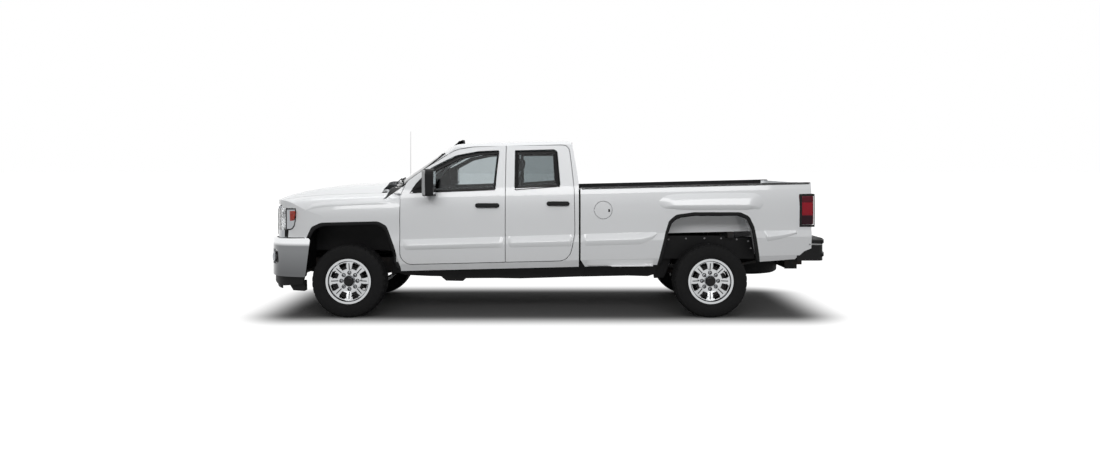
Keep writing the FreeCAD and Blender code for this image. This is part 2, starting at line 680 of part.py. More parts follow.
bumper_outline = at_axle(front_axle_x, [
    (-2.5, 2.12, 0.1), (-2.2, 2.2, 0.05), (-1.06, 2.2, 0.03), (-1.02, 2.15, 0.03), (-1.15, 1.15, 0.05),
    (-2.44, 1.2, 0.2)])


def bumper_plan(inset, y_low_share=0):
    half = [(0.0, -2.44), (0.45, -2.38), (0.78, -2.17), (0.92, -1.9), (0.985, -1.4), (1.0, -0.95)]
    right = [Vector(front_axle_x + radius * along + inset * (1 - y * 0.75), half_width * y - inset * y, 0)
             for y, along in half]
    left = [Vector(p.x, -p.y, 0) for p in right[1:]][::-1]
    front = Part.BSplineCurve()
    front.interpolate(left + right)
    edges = [front.toShape(), Part.makeLine(right[-1], left[0])]
    return Part.Face(Part.Wire(edges)).extrude(Vector(0, 0, size.roof_height))


bumper = bumper_plan(0).cut(bumper_plan(size.wall_thickness * 1.5)).common(everywhere(bumper_outline))
slot = side_prism(at_axle(front_axle_x, [(-2.6, 1.86, 0.03), (-2.2, 1.86, 0.03), (-2.2, 1.42, 0.03),
                                         (-2.6, 1.42, 0.03)]), -half_width * 0.55, half_width * 0.55)
pocket = side_prism(at_axle(front_axle_x, [(-2.6, 1.9, 0.05), (-1.96, 1.9, 0.1), (-1.92, 1.5, 0.1), (-2.6, 1.5, 0.05)]),
                    half_width * 0.64, far_out).cut(bumper_plan(size.wall_thickness))
add("front_bumper", bumper.cut([slot, pocket, mirrored(pocket)]))
dam_outline = at_axle(front_axle_x, [(-2.3, 1.2), (-1.2, 1.16), (-1.25, 0.95, 0.1), (-1.9, 0.9, 0.1), (-2.2, 1.0)])
dam = bumper_plan(size.wall_thickness).cut(bumper_plan(size.wall_thickness * 2)).common(everywhere(dam_outline))
add("air_dam", dam)


# The load bed
wall = size.wall_thickness
arch_rear = at_axle(rear_axle_x, [
    (-1.47, 1.1), (-1.45, 1.22, 0.1), (-1.234, 2.13, 0.2), (-1.14, 2.44, 0.2), (-0.944, 2.6, 0.2),
    (-0.466, 2.656, 0.3), (0.785, 2.627, 0.3), (1.027, 2.51, 0.2), (1.168, 2.217, 0.2), (1.339, 1.27, 0.1),
    (1.35, 1.1)])
bed_side_outline = raised([
    (bed_front_x, size.rocker_height + size.lip_depth), (bed_front_x + size.overrun, size.rocker_height),
    (rear_axle_x, size.rocker_height - size.flange_inset), (bed_rear_x - size.lip_depth * 2.2, size.rocker_height + size.hinge_arm_height),
    (bed_rear_x - size.lip_depth, size.rocker_height + size.lip_depth * 1.5),
    (bed_rear_x, size.rocker_height + size.lip_depth * 1.9), (bed_rear_x, size.rail_height, size.window_radius),
    (bed_front_x, size.rail_height)])
lamp_back = raised([
    (bed_rear_x - radius * 0.34, radius * 3.08, radius * 0.05), (bed_rear_x - radius * 0.3, radius * 2.26, radius * 0.04),
    (bed_rear_x + size.overrun, radius * 2.26), (bed_rear_x + size.overrun, radius * 3.08)])
bed_wall_y = half_width * 0.81
gate_half = half_width * 0.79
gate_low = size.bed_floor_height + rise(bed_rear_x) - size.lip_depth
gate_thick = size.wall_thickness * 1.5
gate_axis_x = bed_rear_x - gate_thick / 2
gate_axis_z = gate_low + gate_thick / 2
box_y = half_width * 0.66

bed_span = (bed_front_x, bed_rear_x)
long_span = (bed_front_x - size.overrun, bed_rear_x + size.overrun)
rear_arch_cut = everywhere(arch_rear)
bed_skin = cab_block(0, 0, size.rocker_height, *bed_span).cut(cab_block(size.lip_depth, 0, size.rocker_height - size.overrun, *long_span))
bed_skin = bed_skin.common(everywhere(bed_side_outline))
lamp_zone = side_prism(lamp_back, gate_half + size.lip_depth * 0.5, far_out)
top_cap_low = size.rail_height - size.wall_thickness * 1.5
cap = cab_block(0, 0, size.rocker_height, *bed_span).cut(block(*long_span, -bed_wall_y, bed_wall_y, 0, size.roof_height * 2))
cap = cap.common(over(top_cap_low)).common(under(size.rail_height))
rear_post = cab_block(0, 0, size.rocker_height, bed_rear_x - gate_thick * 2, bed_rear_x).cut(
    block(*long_span, -gate_half - size.panel_gap, gate_half + size.panel_gap, 0, size.roof_height * 2))
rear_post = rear_post.common(everywhere(bed_side_outline)).common(over(size.bed_floor_height - size.lip_depth * 1.4))
gate_pin_radius = size.hinge_pin_radius * 2
gate_bore = Part.makeCylinder(gate_pin_radius + size.fit_gap, 2 * (gate_half + size.overrun),
                              Vector(gate_axis_x, -gate_half - size.overrun, gate_axis_z), Vector(0, 1, 0))
bedsides = bed_skin.fuse([cap, rear_post]).cut([rear_arch_cut, lamp_zone, mirrored(lamp_zone), gate_bore])

# The fuel flap and its pocket in the left bedside
flap_x = bed_front_x + radius * 0.61
flap_z = size.belt_height - radius * 0.55 + rise(flap_x)
flap_radius = radius * 0.232


def left_disc(x, z, disc_radius, y_low, y_high):
    return Part.makeCylinder(disc_radius, y_high - y_low, Vector(x, y_low, z), Vector(0, 1, 0))


flap_gap = size.hinge_skin + size.fit_gap
line = Part.makeLine(Vector(flap_x, -half_width * 2, flap_z), Vector(flap_x, 0, flap_z))
flap_axis_x = flap_x - flap_radius - flap_gap / 2
flap_axis_y = line.common(bed_skin).BoundBox.YMin + size.fit_gap * 3
flap_pin_radius = size.fit_gap * 4
flap_knuckle_radius = size.hinge_pin_radius * 0.6
flap_half = size.hinge_arm_width


def upright(z_half, round_radius):
    """A short upright cylinder on the fuel flap's hinge line."""
    return Part.makeCylinder(round_radius, z_half * 2, Vector(flap_axis_x, flap_axis_y, flap_z - z_half))


flap_ring = left_disc(flap_x, flap_z, flap_radius + flap_gap, -far_out, -half_width + size.lip_depth * 0.75)
flap_skin = cab_block(0, 0, size.rocker_height, *bed_span).cut(
    cab_block(size.panel_gap, 0, size.rocker_height - size.overrun, *long_span))
flap = flap_skin.common(left_disc(flap_x, flap_z, flap_radius, -far_out, 0))
leaf_tab = block(flap_axis_x, flap_x - flap_radius * 0.9, flap_axis_y, flap_axis_y + size.hinge_skin, flap_z - flap_half, flap_z + flap_half)
flap = flap.fuse([leaf_tab, upright(flap_half, flap_knuckle_radius)]).cut(
    upright(flap_half * 2, flap_pin_radius + size.fit_gap))
knuckle_room = upright(flap_half + size.hinge_skin, flap_knuckle_radius + size.hinge_skin)
pin_ears = [block(flap_axis_x - flap_gap, flap_axis_x + flap_pin_radius, flap_axis_y - flap_pin_radius * 0.6,
                  flap_axis_y + flap_pin_radius * 2, flap_z + s * (flap_half + size.hinge_skin * 1.5) - size.hinge_skin / 2,
                  flap_z + s * (flap_half + size.hinge_skin * 1.5) + size.hinge_skin / 2) for s in (-1, 1)]
bedsides = bedsides.cut([flap_ring, knuckle_room]).fuse([upright(flap_half + size.hinge_skin * 2, flap_pin_radius)] + pin_ears)
add("bedsides", bedsides)
add("fuel_door", flap)

floor_top = size.bed_floor_height
tub_outer = section_prism([
    (-bed_wall_y, floor_top - size.floor_thickness), (bed_wall_y, floor_top - size.floor_thickness),
    (bed_wall_y, top_cap_low), (-bed_wall_y, top_cap_low)], bed_front_x, bed_rear_x - gate_thick - size.panel_gap)
tub_inner = section_prism([
    (-bed_wall_y + wall, floor_top), (bed_wall_y - wall, floor_top),
    (bed_wall_y - wall, size.rail_height * 1.2), (-bed_wall_y + wall, size.rail_height * 1.2)],
    bed_front_x + wall, bed_rear_x + size.overrun)
box_shell = side_prism(grown(arch_rear, wall * 0.6), box_y, bed_wall_y).common(over(floor_top - size.floor_thickness))
box_shell = box_shell.common(block(bed_front_x, bed_rear_x - gate_thick - size.panel_gap, 0, half_width, 0, size.roof_height))
box_room = side_prism(arch_rear, box_y + wall * 0.6, far_out)
tub = tub_outer.cut(tub_inner).fuse([box_shell, mirrored(box_shell)]).cut([box_room, mirrored(box_room)])
add("bed_tub", tub)

gate = section_prism([(-gate_half, size.bed_floor_height - size.lip_depth), (gate_half, size.bed_floor_height - size.lip_depth),
                      (gate_half, size.rail_height), (-gate_half, size.rail_height)],
                     bed_rear_x - gate_thick, bed_rear_x, False)
gate = block(bed_rear_x - gate_thick, bed_rear_x, -gate_half, gate_half, gate_low + gate_thick / 2,
             size.rail_height + rise(bed_rear_x))
gate_foot = Part.makeCylinder(gate_thick / 2, gate_half * 2, Vector(gate_axis_x, -gate_half, gate_axis_z), Vector(0, 1, 0))
gate_pin = Part.makeCylinder(gate_pin_radius, gate_half * 2 + size.panel_gap * 8,
                             Vector(gate_axis_x, -gate_half - size.panel_gap * 4, gate_axis_z), Vector(0, 1, 0))
add("tailgate", gate.fuse([gate_foot, gate_pin]))

lamp_rear = cab_block(size.fit_gap, 0, size.rocker_height, bed_rear_x - radius, bed_rear_x + size.hinge_arm_height)
lamp_rear = lamp_rear.common(side_prism(grown(lamp_back, -size.fit_gap), gate_half + size.lip_depth * 0.5 + size.fit_gap, far_out))
lamp_rear = lamp_rear.common(block(bed_front_x, bed_rear_x + size.panel_gap * 2.5, 0, far_out, 0, size.roof_height))
add("tail_lights", both_sides(lamp_rear))

caps = cab_block(size.panel_gap, 0, size.rocker_height, bed_front_x, bed_rear_x).cut(
    block(*long_span, -bed_wall_y - size.panel_gap, bed_wall_y + size.panel_gap, 0, size.roof_height * 2))
caps = caps.common(over(size.rail_height)).common(under(size.rail_height + size.panel_gap * 1.2))
add("bed_rail_caps", caps)

liner_rear = side_prism(arch_rear, bed_wall_y + size.fit_gap, half_width - size.lip_depth * 0.7)
liner_rear = liner_rear.cut(side_prism(grown(arch_rear, -size.panel_gap * 1.5), 0, far_out))
liner_rear = liner_rear.common(block(bed_front_x, bed_rear_x, 0, far_out, radius * 1.7, size.roof_height))
add("rear_wheel_liners", both_sides(liner_rear))
liner_front = side_prism(grown(arch_front, size.panel_gap * 1.5), half_width * 0.56, half_width * 0.93)
liner_front = liner_front.cut(side_prism(arch_front, 0, far_out))
liner_wall = side_prism(arch_front, half_width * 0.56, half_width * 0.56 + size.panel_gap)
liner_front = liner_front.common(block(nose_x, cab_front_x, 0, far_out, radius * 1.3, size.roof_height))
liner_wall = liner_wall.common(block(nose_x, cab_front_x, 0, far_out, radius * 1.75, size.roof_height))
add("front_wheel_liners", both_sides(liner_front.fuse(liner_wall)))

# The rear bumper, a stepped channel that wraps the corners of the bed
bumper_low, bumper_high = radius * 1.56, radius * 2.12
step_x = bed_rear_x + size.panel_gap * 2.5
bumper_back = plan_prism([
    (bed_rear_x - radius * 0.38, -half_width * 0.97), (tail_x - radius * 0.2, -half_width * 0.97, radius * 0.2),
    (tail_x, -half_width * 0.72, radius * 0.6), (tail_x, half_width * 0.72, radius * 0.6),
    (tail_x - radius * 0.2, half_width * 0.97, radius * 0.2), (bed_rear_x - radius * 0.38, half_width * 0.97)],
    bumper_low, bumper_high)
bumper_room = plan_prism([
    (bed_rear_x - radius * 0.6, -half_width * 0.97 + wall), (tail_x - radius * 0.2 - wall, -half_width * 0.97 + wall, radius * 0.15),
    (tail_x - wall * 1.5, -half_width * 0.68, radius * 0.5), (tail_x - wall * 1.5, half_width * 0.68, radius * 0.5),
    (tail_x - radius * 0.2 - wall, half_width * 0.97 - wall, radius * 0.15), (bed_rear_x - radius * 0.6, half_width * 0.97 - wall)],
    0, bumper_high - size.wall_thickness)
bed_clear = block(0, bed_rear_x + size.panel_gap, -half_width, half_width, bumper_high - wall * 2.2, size.roof_height)
add("rear_bumper", bumper_back.cut([bumper_room, bed_clear]))


# The frame, its outlines measured along the ground
rail_y = size.rail_spacing / 2
rail_in, rail_out = rail_y - size.rail_width_size / 2, rail_y + size.rail_width_size / 2
rail_low = size.rail_under_height
rail_top = rail_low + size.rail_depth_size
kick = size.rail_depth_size
rail_front_x = nose_x + size.lip_depth
rail_back_x = tail_x - wall * 1.5 - size.fit_gap
rail_outline = [
    (rail_front_x, rail_low + kick * 0.3), (rail_front_x + radius, rail_low, radius),
    (rear_axle_x - radius * 1.6, rail_low, radius), (rear_axle_x - radius * 0.9, rail_low + kick, radius),
    (rear_axle_x + radius * 1.1, rail_low + kick, radius), (rear_axle_x + radius * 1.7, rail_low + kick * 1.15, radius),
    (rail_back_x, rail_low + kick * 1.15), (rail_back_x, rail_top + kick * 0.85),
    (rear_axle_x + radius * 1.7, rail_top + kick, radius), (rear_axle_x - radius, rail_top + kick, radius),
    (rear_axle_x - radius * 1.7, rail_top, radius), (rail_front_x, rail_top),
]
rail = side_prism(rail_outline, rail_in, rail_out).cut(
    side_prism(grown(rail_outline, -size.rail_wall), rail_in - size.overrun, rail_out - size.rail_wall))
rail_pair = [rail, mirrored(rail)]


def cross(x, z_low, z_high, wide=0.3):
    return block(x - size.lip_depth * wide, x + size.lip_depth * wide, -rail_in - size.fit_gap * 0, rail_in,
                 z_low, z_high)


sill_xs = [bed_front_x + radius * 0.4, rear_axle_x - radius * 1.55, rear_axle_x + radius * 0.65, bed_rear_x - radius * 0.5]
mount_xs = [cab_front_x + radius * 0.35, cab_front_x + radius * 2.2, cab_rear_x - radius * 0.6]
frame_bits = []
for x in mount_xs:
    for y in (-rail_y, rail_y):
        under_floor = size.floor_height - size.floor_thickness + rise(x - size.rail_width_size / 2)
        frame_bits.append(Part.makeCylinder(size.rail_width_size * 0.45, under_floor - rail_top - size.fit_gap,
                                            Vector(x, y, rail_top)))
for x in sill_xs:
    half = size.lip_depth * 0.45
    z = floor_top - size.floor_thickness + rise(x - half) - size.fit_gap
    frame_bits.append(block(x - half, x + half, -bed_wall_y * 0.95, bed_wall_y * 0.95, z - wall * 1.5, z))
    for y in (-rail_y, rail_y):
        foot = rail_top if x < rear_axle_x - radius * 1.7 else rail_top + kick * 0.5
        frame_bits.append(block(x - half, x + half, y - size.rail_width_size / 2, y + size.rail_width_size / 2 - size.rail_wall,
                                foot, z - wall))
trans_end_x = cab_front_x + radius * 1.2
crosses = [
    (trans_end_x + size.lip_depth * 0.3, rail_top - wall * 1.2, rail_top), (cab_rear_x - radius * 1.4, rail_top - wall * 1.1, rail_top),
    (rear_axle_x + radius * 0.65, rail_top + kick * 0.5, rail_top + kick - size.rail_wall),
    (rail_back_x - radius * 0.3, rail_low + kick * 1.3, rail_top + kick * 0.7),
    (rail_front_x + radius * 0.25, rail_low + kick * 0.4, rail_top - size.rail_wall)]
for x, low, high in crosses:
    frame_bits.append(block(x - size.lip_depth * 0.3, x + size.lip_depth * 0.3, -rail_out + size.rail_wall, rail_out - size.rail_wall,
                            low, high))
hitch_y = size.rail_width_size / 2
hitch_bore_half = radius * 0.062
hitch_z = rail_low + kick * 0.45
hitch_front_x = tail_x - radius * 0.55
receiver = block(hitch_front_x + size.fit_gap, tail_x - size.flange_inset, -hitch_y, hitch_y, hitch_z - hitch_y, hitch_z + hitch_y)
receiver_bore = block(tail_x - radius * 0.5, tail_x, -hitch_bore_half, hitch_bore_half, hitch_z - hitch_bore_half,
                      hitch_z + hitch_bore_half)
add("hitch_receiver", receiver.cut(receiver_bore))
hitch_beam = block(tail_x - radius * 0.8, hitch_front_x, -rail_out, rail_out, hitch_z - hitch_y, hitch_z + hitch_y)
plates = [block(tail_x - radius * 0.85, tail_x - radius * 0.5, y - size.hinge_pin_radius, y + size.hinge_pin_radius,
                hitch_z - hitch_y, rail_top + kick * 0.3) for y in (-rail_out, rail_out)]
frame = rail_pair[0].fuse([rail_pair[1], hitch_beam] + plates + frame_bits)
add("frame_rails", frame)

# The front suspension: arms either side of each kingpin, and the knuckles that turn on them
kingpin_y = half_width - (half_width - size.track_width / 2) - size.kingpin_inset
pin_reach = radius * 0.27
arm_thick = size.hinge_arm_height
arm_half = radius * 0.38
tip = size.rail_width_size * 0.45
kingpin_radius = size.hinge_pin_radius * 3


def arm_plate(z):
    return plan_prism([(front_axle_x - arm_half, rail_out - size.overrun), (front_axle_x + arm_half, rail_out - size.overrun),
                       (front_axle_x + arm_half, rail_out + size.overrun * 0.5), (front_axle_x + tip, kingpin_y + tip, tip * 0.9),
                       (front_axle_x - tip, kingpin_y + tip, tip * 0.9), (front_axle_x - arm_half, rail_out + size.overrun * 0.5)],
                      z - arm_thick / 2, z + arm_thick / 2)


low_arm_z, high_arm_z = tyre_radius - pin_reach, tyre_radius + pin_reach
kingpin = Part.makeCylinder(kingpin_radius, high_arm_z - low_arm_z, Vector(front_axle_x, kingpin_y, low_arm_z))
cradle = block(front_axle_x - arm_half, front_axle_x + arm_half, -rail_out + size.overrun, rail_out - size.overrun,
               low_arm_z - arm_thick / 2, low_arm_z + arm_thick / 2)
struts = [block(front_axle_x + s * arm_half * 0.9 - arm_thick / 2, front_axle_x + s * arm_half * 0.9 + arm_thick / 2,
                rail_in, rail_out - size.rail_wall, low_arm_z, rail_low) for s in (-1, 1)]
arms = [arm_plate(low_arm_z), arm_plate(high_arm_z), kingpin] + struts
suspension = arms[0].fuse(arms[1:])
shock = Part.makeCylinder(size.hinge_depth * 1.8, radius * 0.75, Vector(front_axle_x, rail_out + size.overrun * 0.8, low_arm_z))
suspension = suspension.fuse(shock)
add("front_suspension", cradle.fuse([suspension, mirrored(suspension)]).cut(rail_pair))

hub_face_y = size.track_width / 2 + size.disc_offset
hub_r = size.hub_diameter / 2
disc_r = radius * 0.4
post = Part.makeCylinder(size.flange_thickness * 1.1, 2 * (pin_reach - arm_thick / 2 - size.panel_gap * 0.65),
                         Vector(front_axle_x, kingpin_y, low_arm_z + arm_thick / 2 + size.panel_gap * 0.65))


def stub(x, y_from):
    """Hub and brake disc on the axle line, right-hand side."""
    axle = Part.makeCylinder(size.flange_thickness, hub_face_y - y_from, Vector(x, y_from, tyre_radius), Vector(0, 1, 0))
    hub = Part.makeCylinder(hub_r, size.disc_offset * 1.6, Vector(x, hub_face_y - size.disc_offset * 1.2, tyre_radius), Vector(0, 1, 0))
    disc = Part.makeCylinder(disc_r, size.flange_thickness, Vector(x, hub_face_y - size.disc_offset * 1.35, tyre_radius), Vector(0, 1, 0))
    return axle.fuse([hub, disc])


def caliper(x, side_share):
    y0 = hub_face_y - size.disc_offset * 1.35
    box = block(x + disc_r * 0.25 * side_share - disc_r * 0.3, x + disc_r * 0.25 * side_share + disc_r * 0.3,
                y0 - size.flange_inset, y0 + size.flange_thickness + size.hinge_pin_radius * 2,
                tyre_radius + disc_r * 0.65, tyre_radius + disc_r * 1.04)
    return box


bore = Part.makeCylinder(kingpin_radius + size.fit_gap, radius, Vector(front_axle_x, kingpin_y, low_arm_z))
knuckle = post.fuse([stub(front_axle_x, kingpin_y), caliper(front_axle_x, 1)]).cut(bore)
add("knuckle_right", knuckle)
add("knuckle_left", mirrored(knuckle))

# The rear axle and its springs
tube_r = size.tube_diameter / 2
axle_tube = Part.makeCylinder(tube_r, 2 * (hub_face_y - size.disc_offset), Vector(rear_axle_x, -hub_face_y + size.disc_offset, tyre_radius),
                              Vector(0, 1, 0))
pumpkin = Part.makeSphere(radius * 0.35, Vector(rear_axle_x + tube_r * 0.2, 0, tyre_radius))
pinion = Part.makeCone(tube_r * 1.4, tube_r * 1.9, radius * 0.5, Vector(rear_axle_x - radius * 0.75, 0, tyre_radius), Vector(1, 0, 0))
rear_stub = stub(rear_axle_x, hub_face_y - radius * 0.5).fuse(caliper(rear_axle_x, -1))
add("rear_axle", axle_tube.fuse([pumpkin, pinion, rear_stub, mirrored(rear_stub)]))
leaf_y = rail_out + size.rail_width_size
spring_outline = [
    (rear_axle_x - radius * 1.7, tyre_radius + radius * 0.36, radius), (rear_axle_x, tyre_radius + tube_r, radius * 3),
    (rear_axle_x + radius * 1.7, tyre_radius + radius * 0.42, radius), (rear_axle_x + radius * 1.7, tyre_radius + radius * 0.5),
    (rear_axle_x + radius * 0.5, tyre_radius + tube_r * 2.1, radius), (rear_axle_x - radius * 0.5, tyre_radius + tube_r * 2.1, radius),
    (rear_axle_x - radius * 1.7, tyre_radius + radius * 0.44)]
leaf = side_prism(spring_outline, leaf_y - size.rail_width_size * 0.45, leaf_y + size.rail_width_size * 0.45)
pad = block(rear_axle_x - tube_r, rear_axle_x + tube_r, leaf_y - size.rail_width_size * 0.45, leaf_y + size.rail_width_size * 0.45,
            tyre_radius, tyre_radius + tube_r * 1.4)
pad = pad.cut(Part.makeCylinder(tube_r + size.fit_gap, radius * 6, Vector(rear_axle_x, -radius * 3, tyre_radius), Vector(0, 1, 0)))
hangers = [block(rear_axle_x + s * radius * 1.66 - tube_r * 0.5, rear_axle_x + s * radius * 1.66 + tube_r * 0.5,
                 rail_out, leaf_y + size.rail_width_size * 0.3, tyre_radius + radius * 0.4, tyre_radius + radius * 0.4 + kick * 0.9)
           for s in (-1, 1)]
spring = leaf.fuse([pad] + hangers)
add("leaf_springs", both_sides(spring))


def pipe(points, pipe_radius):
    """Round pipe with rounded elbows through points."""
    vectors = [Vector(*p) for p in points]
    parts = [Part.makeCylinder(pipe_radius, (b - a).Length, a, b - a) for a, b in zip(vectors, vectors[1:])]
    parts += [Part.makeSphere(pipe_radius, p) for p in vectors[1:-1]]
    return parts[0].fuse(parts[1:])


# Engine, driveline, tank, exhaust and spare
engine_back_x = cab_front_x - radius * 1.35
engine_low = rail_top - size.lip_depth * 0.6
engine = block(engine_back_x - radius * 1.7, engine_back_x, -radius * 0.7, radius * 0.7, engine_low, engine_low + radius * 1.35)
mounts = [block(engine_back_x - radius * 0.9 - wall, engine_back_x - radius * 0.9 + wall, -rail_y, rail_y, rail_top, rail_top + wall)]
add("engine", engine.fuse(mounts))
gear_z = rail_low + kick * 0.3
bell = Part.makeCone(radius * 0.42, radius * 0.22, radius * 0.9, Vector(engine_back_x, 0, gear_z), Vector(1, 0, 0))
gearbox = Part.makeCylinder(radius * 0.22, trans_end_x - engine_back_x - radius * 0.9 - size.fit_gap,
                            Vector(engine_back_x + radius * 0.9, 0, gear_z), Vector(1, 0, 0))
shaft = pipe([(trans_end_x - tube_r, 0, gear_z), (rear_axle_x - radius * 0.75, 0, tyre_radius)], tube_r * 0.7)
add("driveline", bell.fuse([gearbox, shaft]))
tank_z = rail_low + wall
tank = plan_prism([
    (bed_front_x + wall, -rail_in + size.fit_gap), (bed_front_x + radius * 2, -rail_in + size.fit_gap),
    (bed_front_x + radius * 2, -tube_r * 1.6, wall), (bed_front_x + wall, -tube_r * 1.6, wall)], tank_z, tank_z + kick * 1.9)
tank = tank.cut([frame])
add("fuel_tank", tank)
pipe_y, pipe_r = radius * 0.58, radius * 0.085
exhaust_z = rail_low + size.floor_thickness * 2
exhaust = pipe([(engine_back_x + radius * 0.2, pipe_y, exhaust_z), (rear_axle_x - radius * 0.9, pipe_y, exhaust_z),
                (rear_axle_x - radius * 0.5, pipe_y, exhaust_z + radius * 0.24), (rear_axle_x + radius * 0.34, pipe_y, exhaust_z + radius * 0.24),
                (rear_axle_x + radius * 0.66, leaf_y, tyre_radius + radius * 0.04),
                (rear_axle_x + radius * 1.5, half_width * 0.86, tyre_radius + radius * 0.04)], pipe_r)
muffler = Part.makeCylinder(radius * 0.24, radius * 1.5, Vector(bed_front_x, pipe_y, exhaust_z), Vector(1, 0, 0))
hanger_x = cab_rear_x - radius * 1.4
hanger = block(hanger_x - size.panel_gap, hanger_x + size.panel_gap, pipe_y - size.panel_gap, pipe_y + size.panel_gap, exhaust_z,
               rail_top - wall * 1.1 - size.fit_gap)
add("exhaust", exhaust.fuse([muffler, hanger]))


# The wheels: each is a sketch in its own plane, turned about the axle, then pierced
def profile(body, plane_role, points, name):
    """A closed sketch on a body's plane; each corner is held by expressions of named sizes."""
    plane = [f for f in body.Origin.OriginFeatures if f.Role == plane_role][0]
    sketch = body.newObject("Sketcher::SketchObject", name)
    sketch.AttachmentSupport = [(plane, "")]
    sketch.MapMode = "FlatFace"
    values = [tuple(value_of(text) for text in p) for p in points]
    for a, b in zip(values, values[1:] + values[:1]):
        sketch.addGeometry(Part.LineSegment(Vector(*a, 0), Vector(*b, 0)), False)
    for i in range(len(points)):
        sketch.addConstraint(Sketcher.Constraint("Coincident", i, 2, (i + 1) % len(points), 1))
    for i, (p, value) in enumerate(zip(points, values)):
        for axis, text, number in (("DistanceX", p[0], value[0]), ("DistanceY", p[1], value[1])):
            index = sketch.addConstraint(Sketcher.Constraint(axis, -1, 1, i, 1, number))
            sketch.setExpression(f"Constraints[{index}]", bound(text))
    return sketch


def value_of(text):
    """The number an expression of named sizes comes to."""
    total = 0.0
    for term in re.findall(r"[+-]?[^+-]+", text.replace(" ", "")):
        amount = 1.0
        for factor in term.lstrip("+-").split("*"):
            amount *= SIZES[factor] if factor in SIZES else float(factor)
        total += -amount if term.startswith("-") else amount
    return total


def turned(label, points):
    """A PartDesign body whose profile (across, out from the axle) is turned about the axle."""
    body = document.addObject("PartDesign::Body", label)
    sketch = profile(body, "XZ_Plane", points, label + "_profile")
    turn = body.newObject("PartDesign::Revolution", label + "_turn")
    turn.Profile = sketch
    turn.ReferenceAxis = (sketch, ["H_Axis"])
    turn.Angle = 360
    return body


tyre_profile = [
    ("rim_width*0.5 - fit_gap", "bead_diameter*0.5 + fit_gap"), ("rim_width*0.5 - fit_gap", "rim_flange_diameter*0.5 + fit_gap"),
    ("rim_width*0.5 + rim_wall", "rim_flange_diameter*0.5 + hinge_pin_radius"),
    ("tyre_width*0.5 - hinge_pin_radius", "tyre_diameter*0.36"), ("tyre_width*0.5", "tyre_diameter*0.402"),
    ("tyre_width*0.5 - panel_gap", "tyre_diameter*0.455"), ("tread_width*0.5 + hinge_skin*2", "tyre_diameter*0.488"),
    ("tread_width*0.5", "tyre_diameter*0.496"), ("tread_width*0.25", "tyre_diameter*0.5"),
    ("-tread_width*0.25", "tyre_diameter*0.5"), ("-tread_width*0.5", "tyre_diameter*0.496"),
    ("-tread_width*0.5 - hinge_skin*2", "tyre_diameter*0.488"), ("-tyre_width*0.5 + panel_gap", "tyre_diameter*0.455"),
    ("-tyre_width*0.5", "tyre_diameter*0.402"), ("-tyre_width*0.5 + hinge_pin_radius", "tyre_diameter*0.36"),
    ("-rim_width*0.5 - rim_wall", "rim_flange_diameter*0.5 + hinge_pin_radius"),
    ("-rim_width*0.5 + fit_gap", "rim_flange_diameter*0.5 + fit_gap"), ("-rim_width*0.5 + fit_gap", "bead_diameter*0.5 + fit_gap"),
    ("-rim_width*0.5 + flange_inset", "bead_diameter*0.5 + fit_gap"), ("-tyre_width*0.5 + flange_thickness", "tyre_diameter*0.4"),
    ("-tread_width*0.5 + glass_depth", "tyre_diameter*0.47"), ("tread_width*0.5 - glass_depth", "tyre_diameter*0.47"),
    ("tyre_width*0.5 - flange_thickness", "tyre_diameter*0.4"), ("rim_width*0.5 - flange_inset", "bead_diameter*0.5 + fit_gap"),
]
rim_profile = [
    ("-rim_width*0.5 - rim_wall", "rim_flange_diameter*0.5"), ("-rim_width*0.5", "rim_flange_diameter*0.5"),
    ("-rim_width*0.5", "bead_diameter*0.5"), ("-rim_width*0.3", "bead_diameter*0.5"), ("-rim_width*0.2", "bead_diameter*0.46"),
    ("rim_width*0.2", "bead_diameter*0.46"), ("rim_width*0.3", "bead_diameter*0.5"), ("rim_width*0.5", "bead_diameter*0.5"),
    ("rim_width*0.5", "rim_flange_diameter*0.5"), ("rim_width*0.5 + rim_wall", "rim_flange_diameter*0.5"),
    ("rim_width*0.5 + rim_wall", "bead_diameter*0.5 - hinge_pin_radius"), ("rim_width*0.47", "bead_diameter*0.474"),
    ("rim_width*0.42", "window_ring_diameter*0.62"), ("disc_offset + disc_thickness*2.2", "hub_face_diameter*0.55"),
    ("disc_offset + disc_thickness*2.2", "centre_bore_diameter*0.5"), ("disc_offset", "centre_bore_diameter*0.5"),
    ("disc_offset", "hub_face_diameter*0.6"), ("rim_width*0.42 - disc_thickness*1.6", "window_ring_diameter*0.62"),
    ("rim_width*0.22", "bead_diameter*0.46 - rim_wall"), ("-rim_width*0.22", "bead_diameter*0.46 - rim_wall"),
    ("-rim_width*0.32", "bead_diameter*0.5 - rim_wall"), ("-rim_width*0.5 - rim_wall", "bead_diameter*0.5 - rim_wall"),
]
window_shares = [(-0.08, 0.385), (0.08, 0.385), (0.108, 0.545), (0.088, 0.598), (-0.088, 0.598), (-0.108, 0.545)]


def ring_share(share):
    """A share of the window ring's diameter as an expression, its sign in front."""
    return ("-" if share < 0 else "") + f"window_ring_diameter*{abs(share)}"


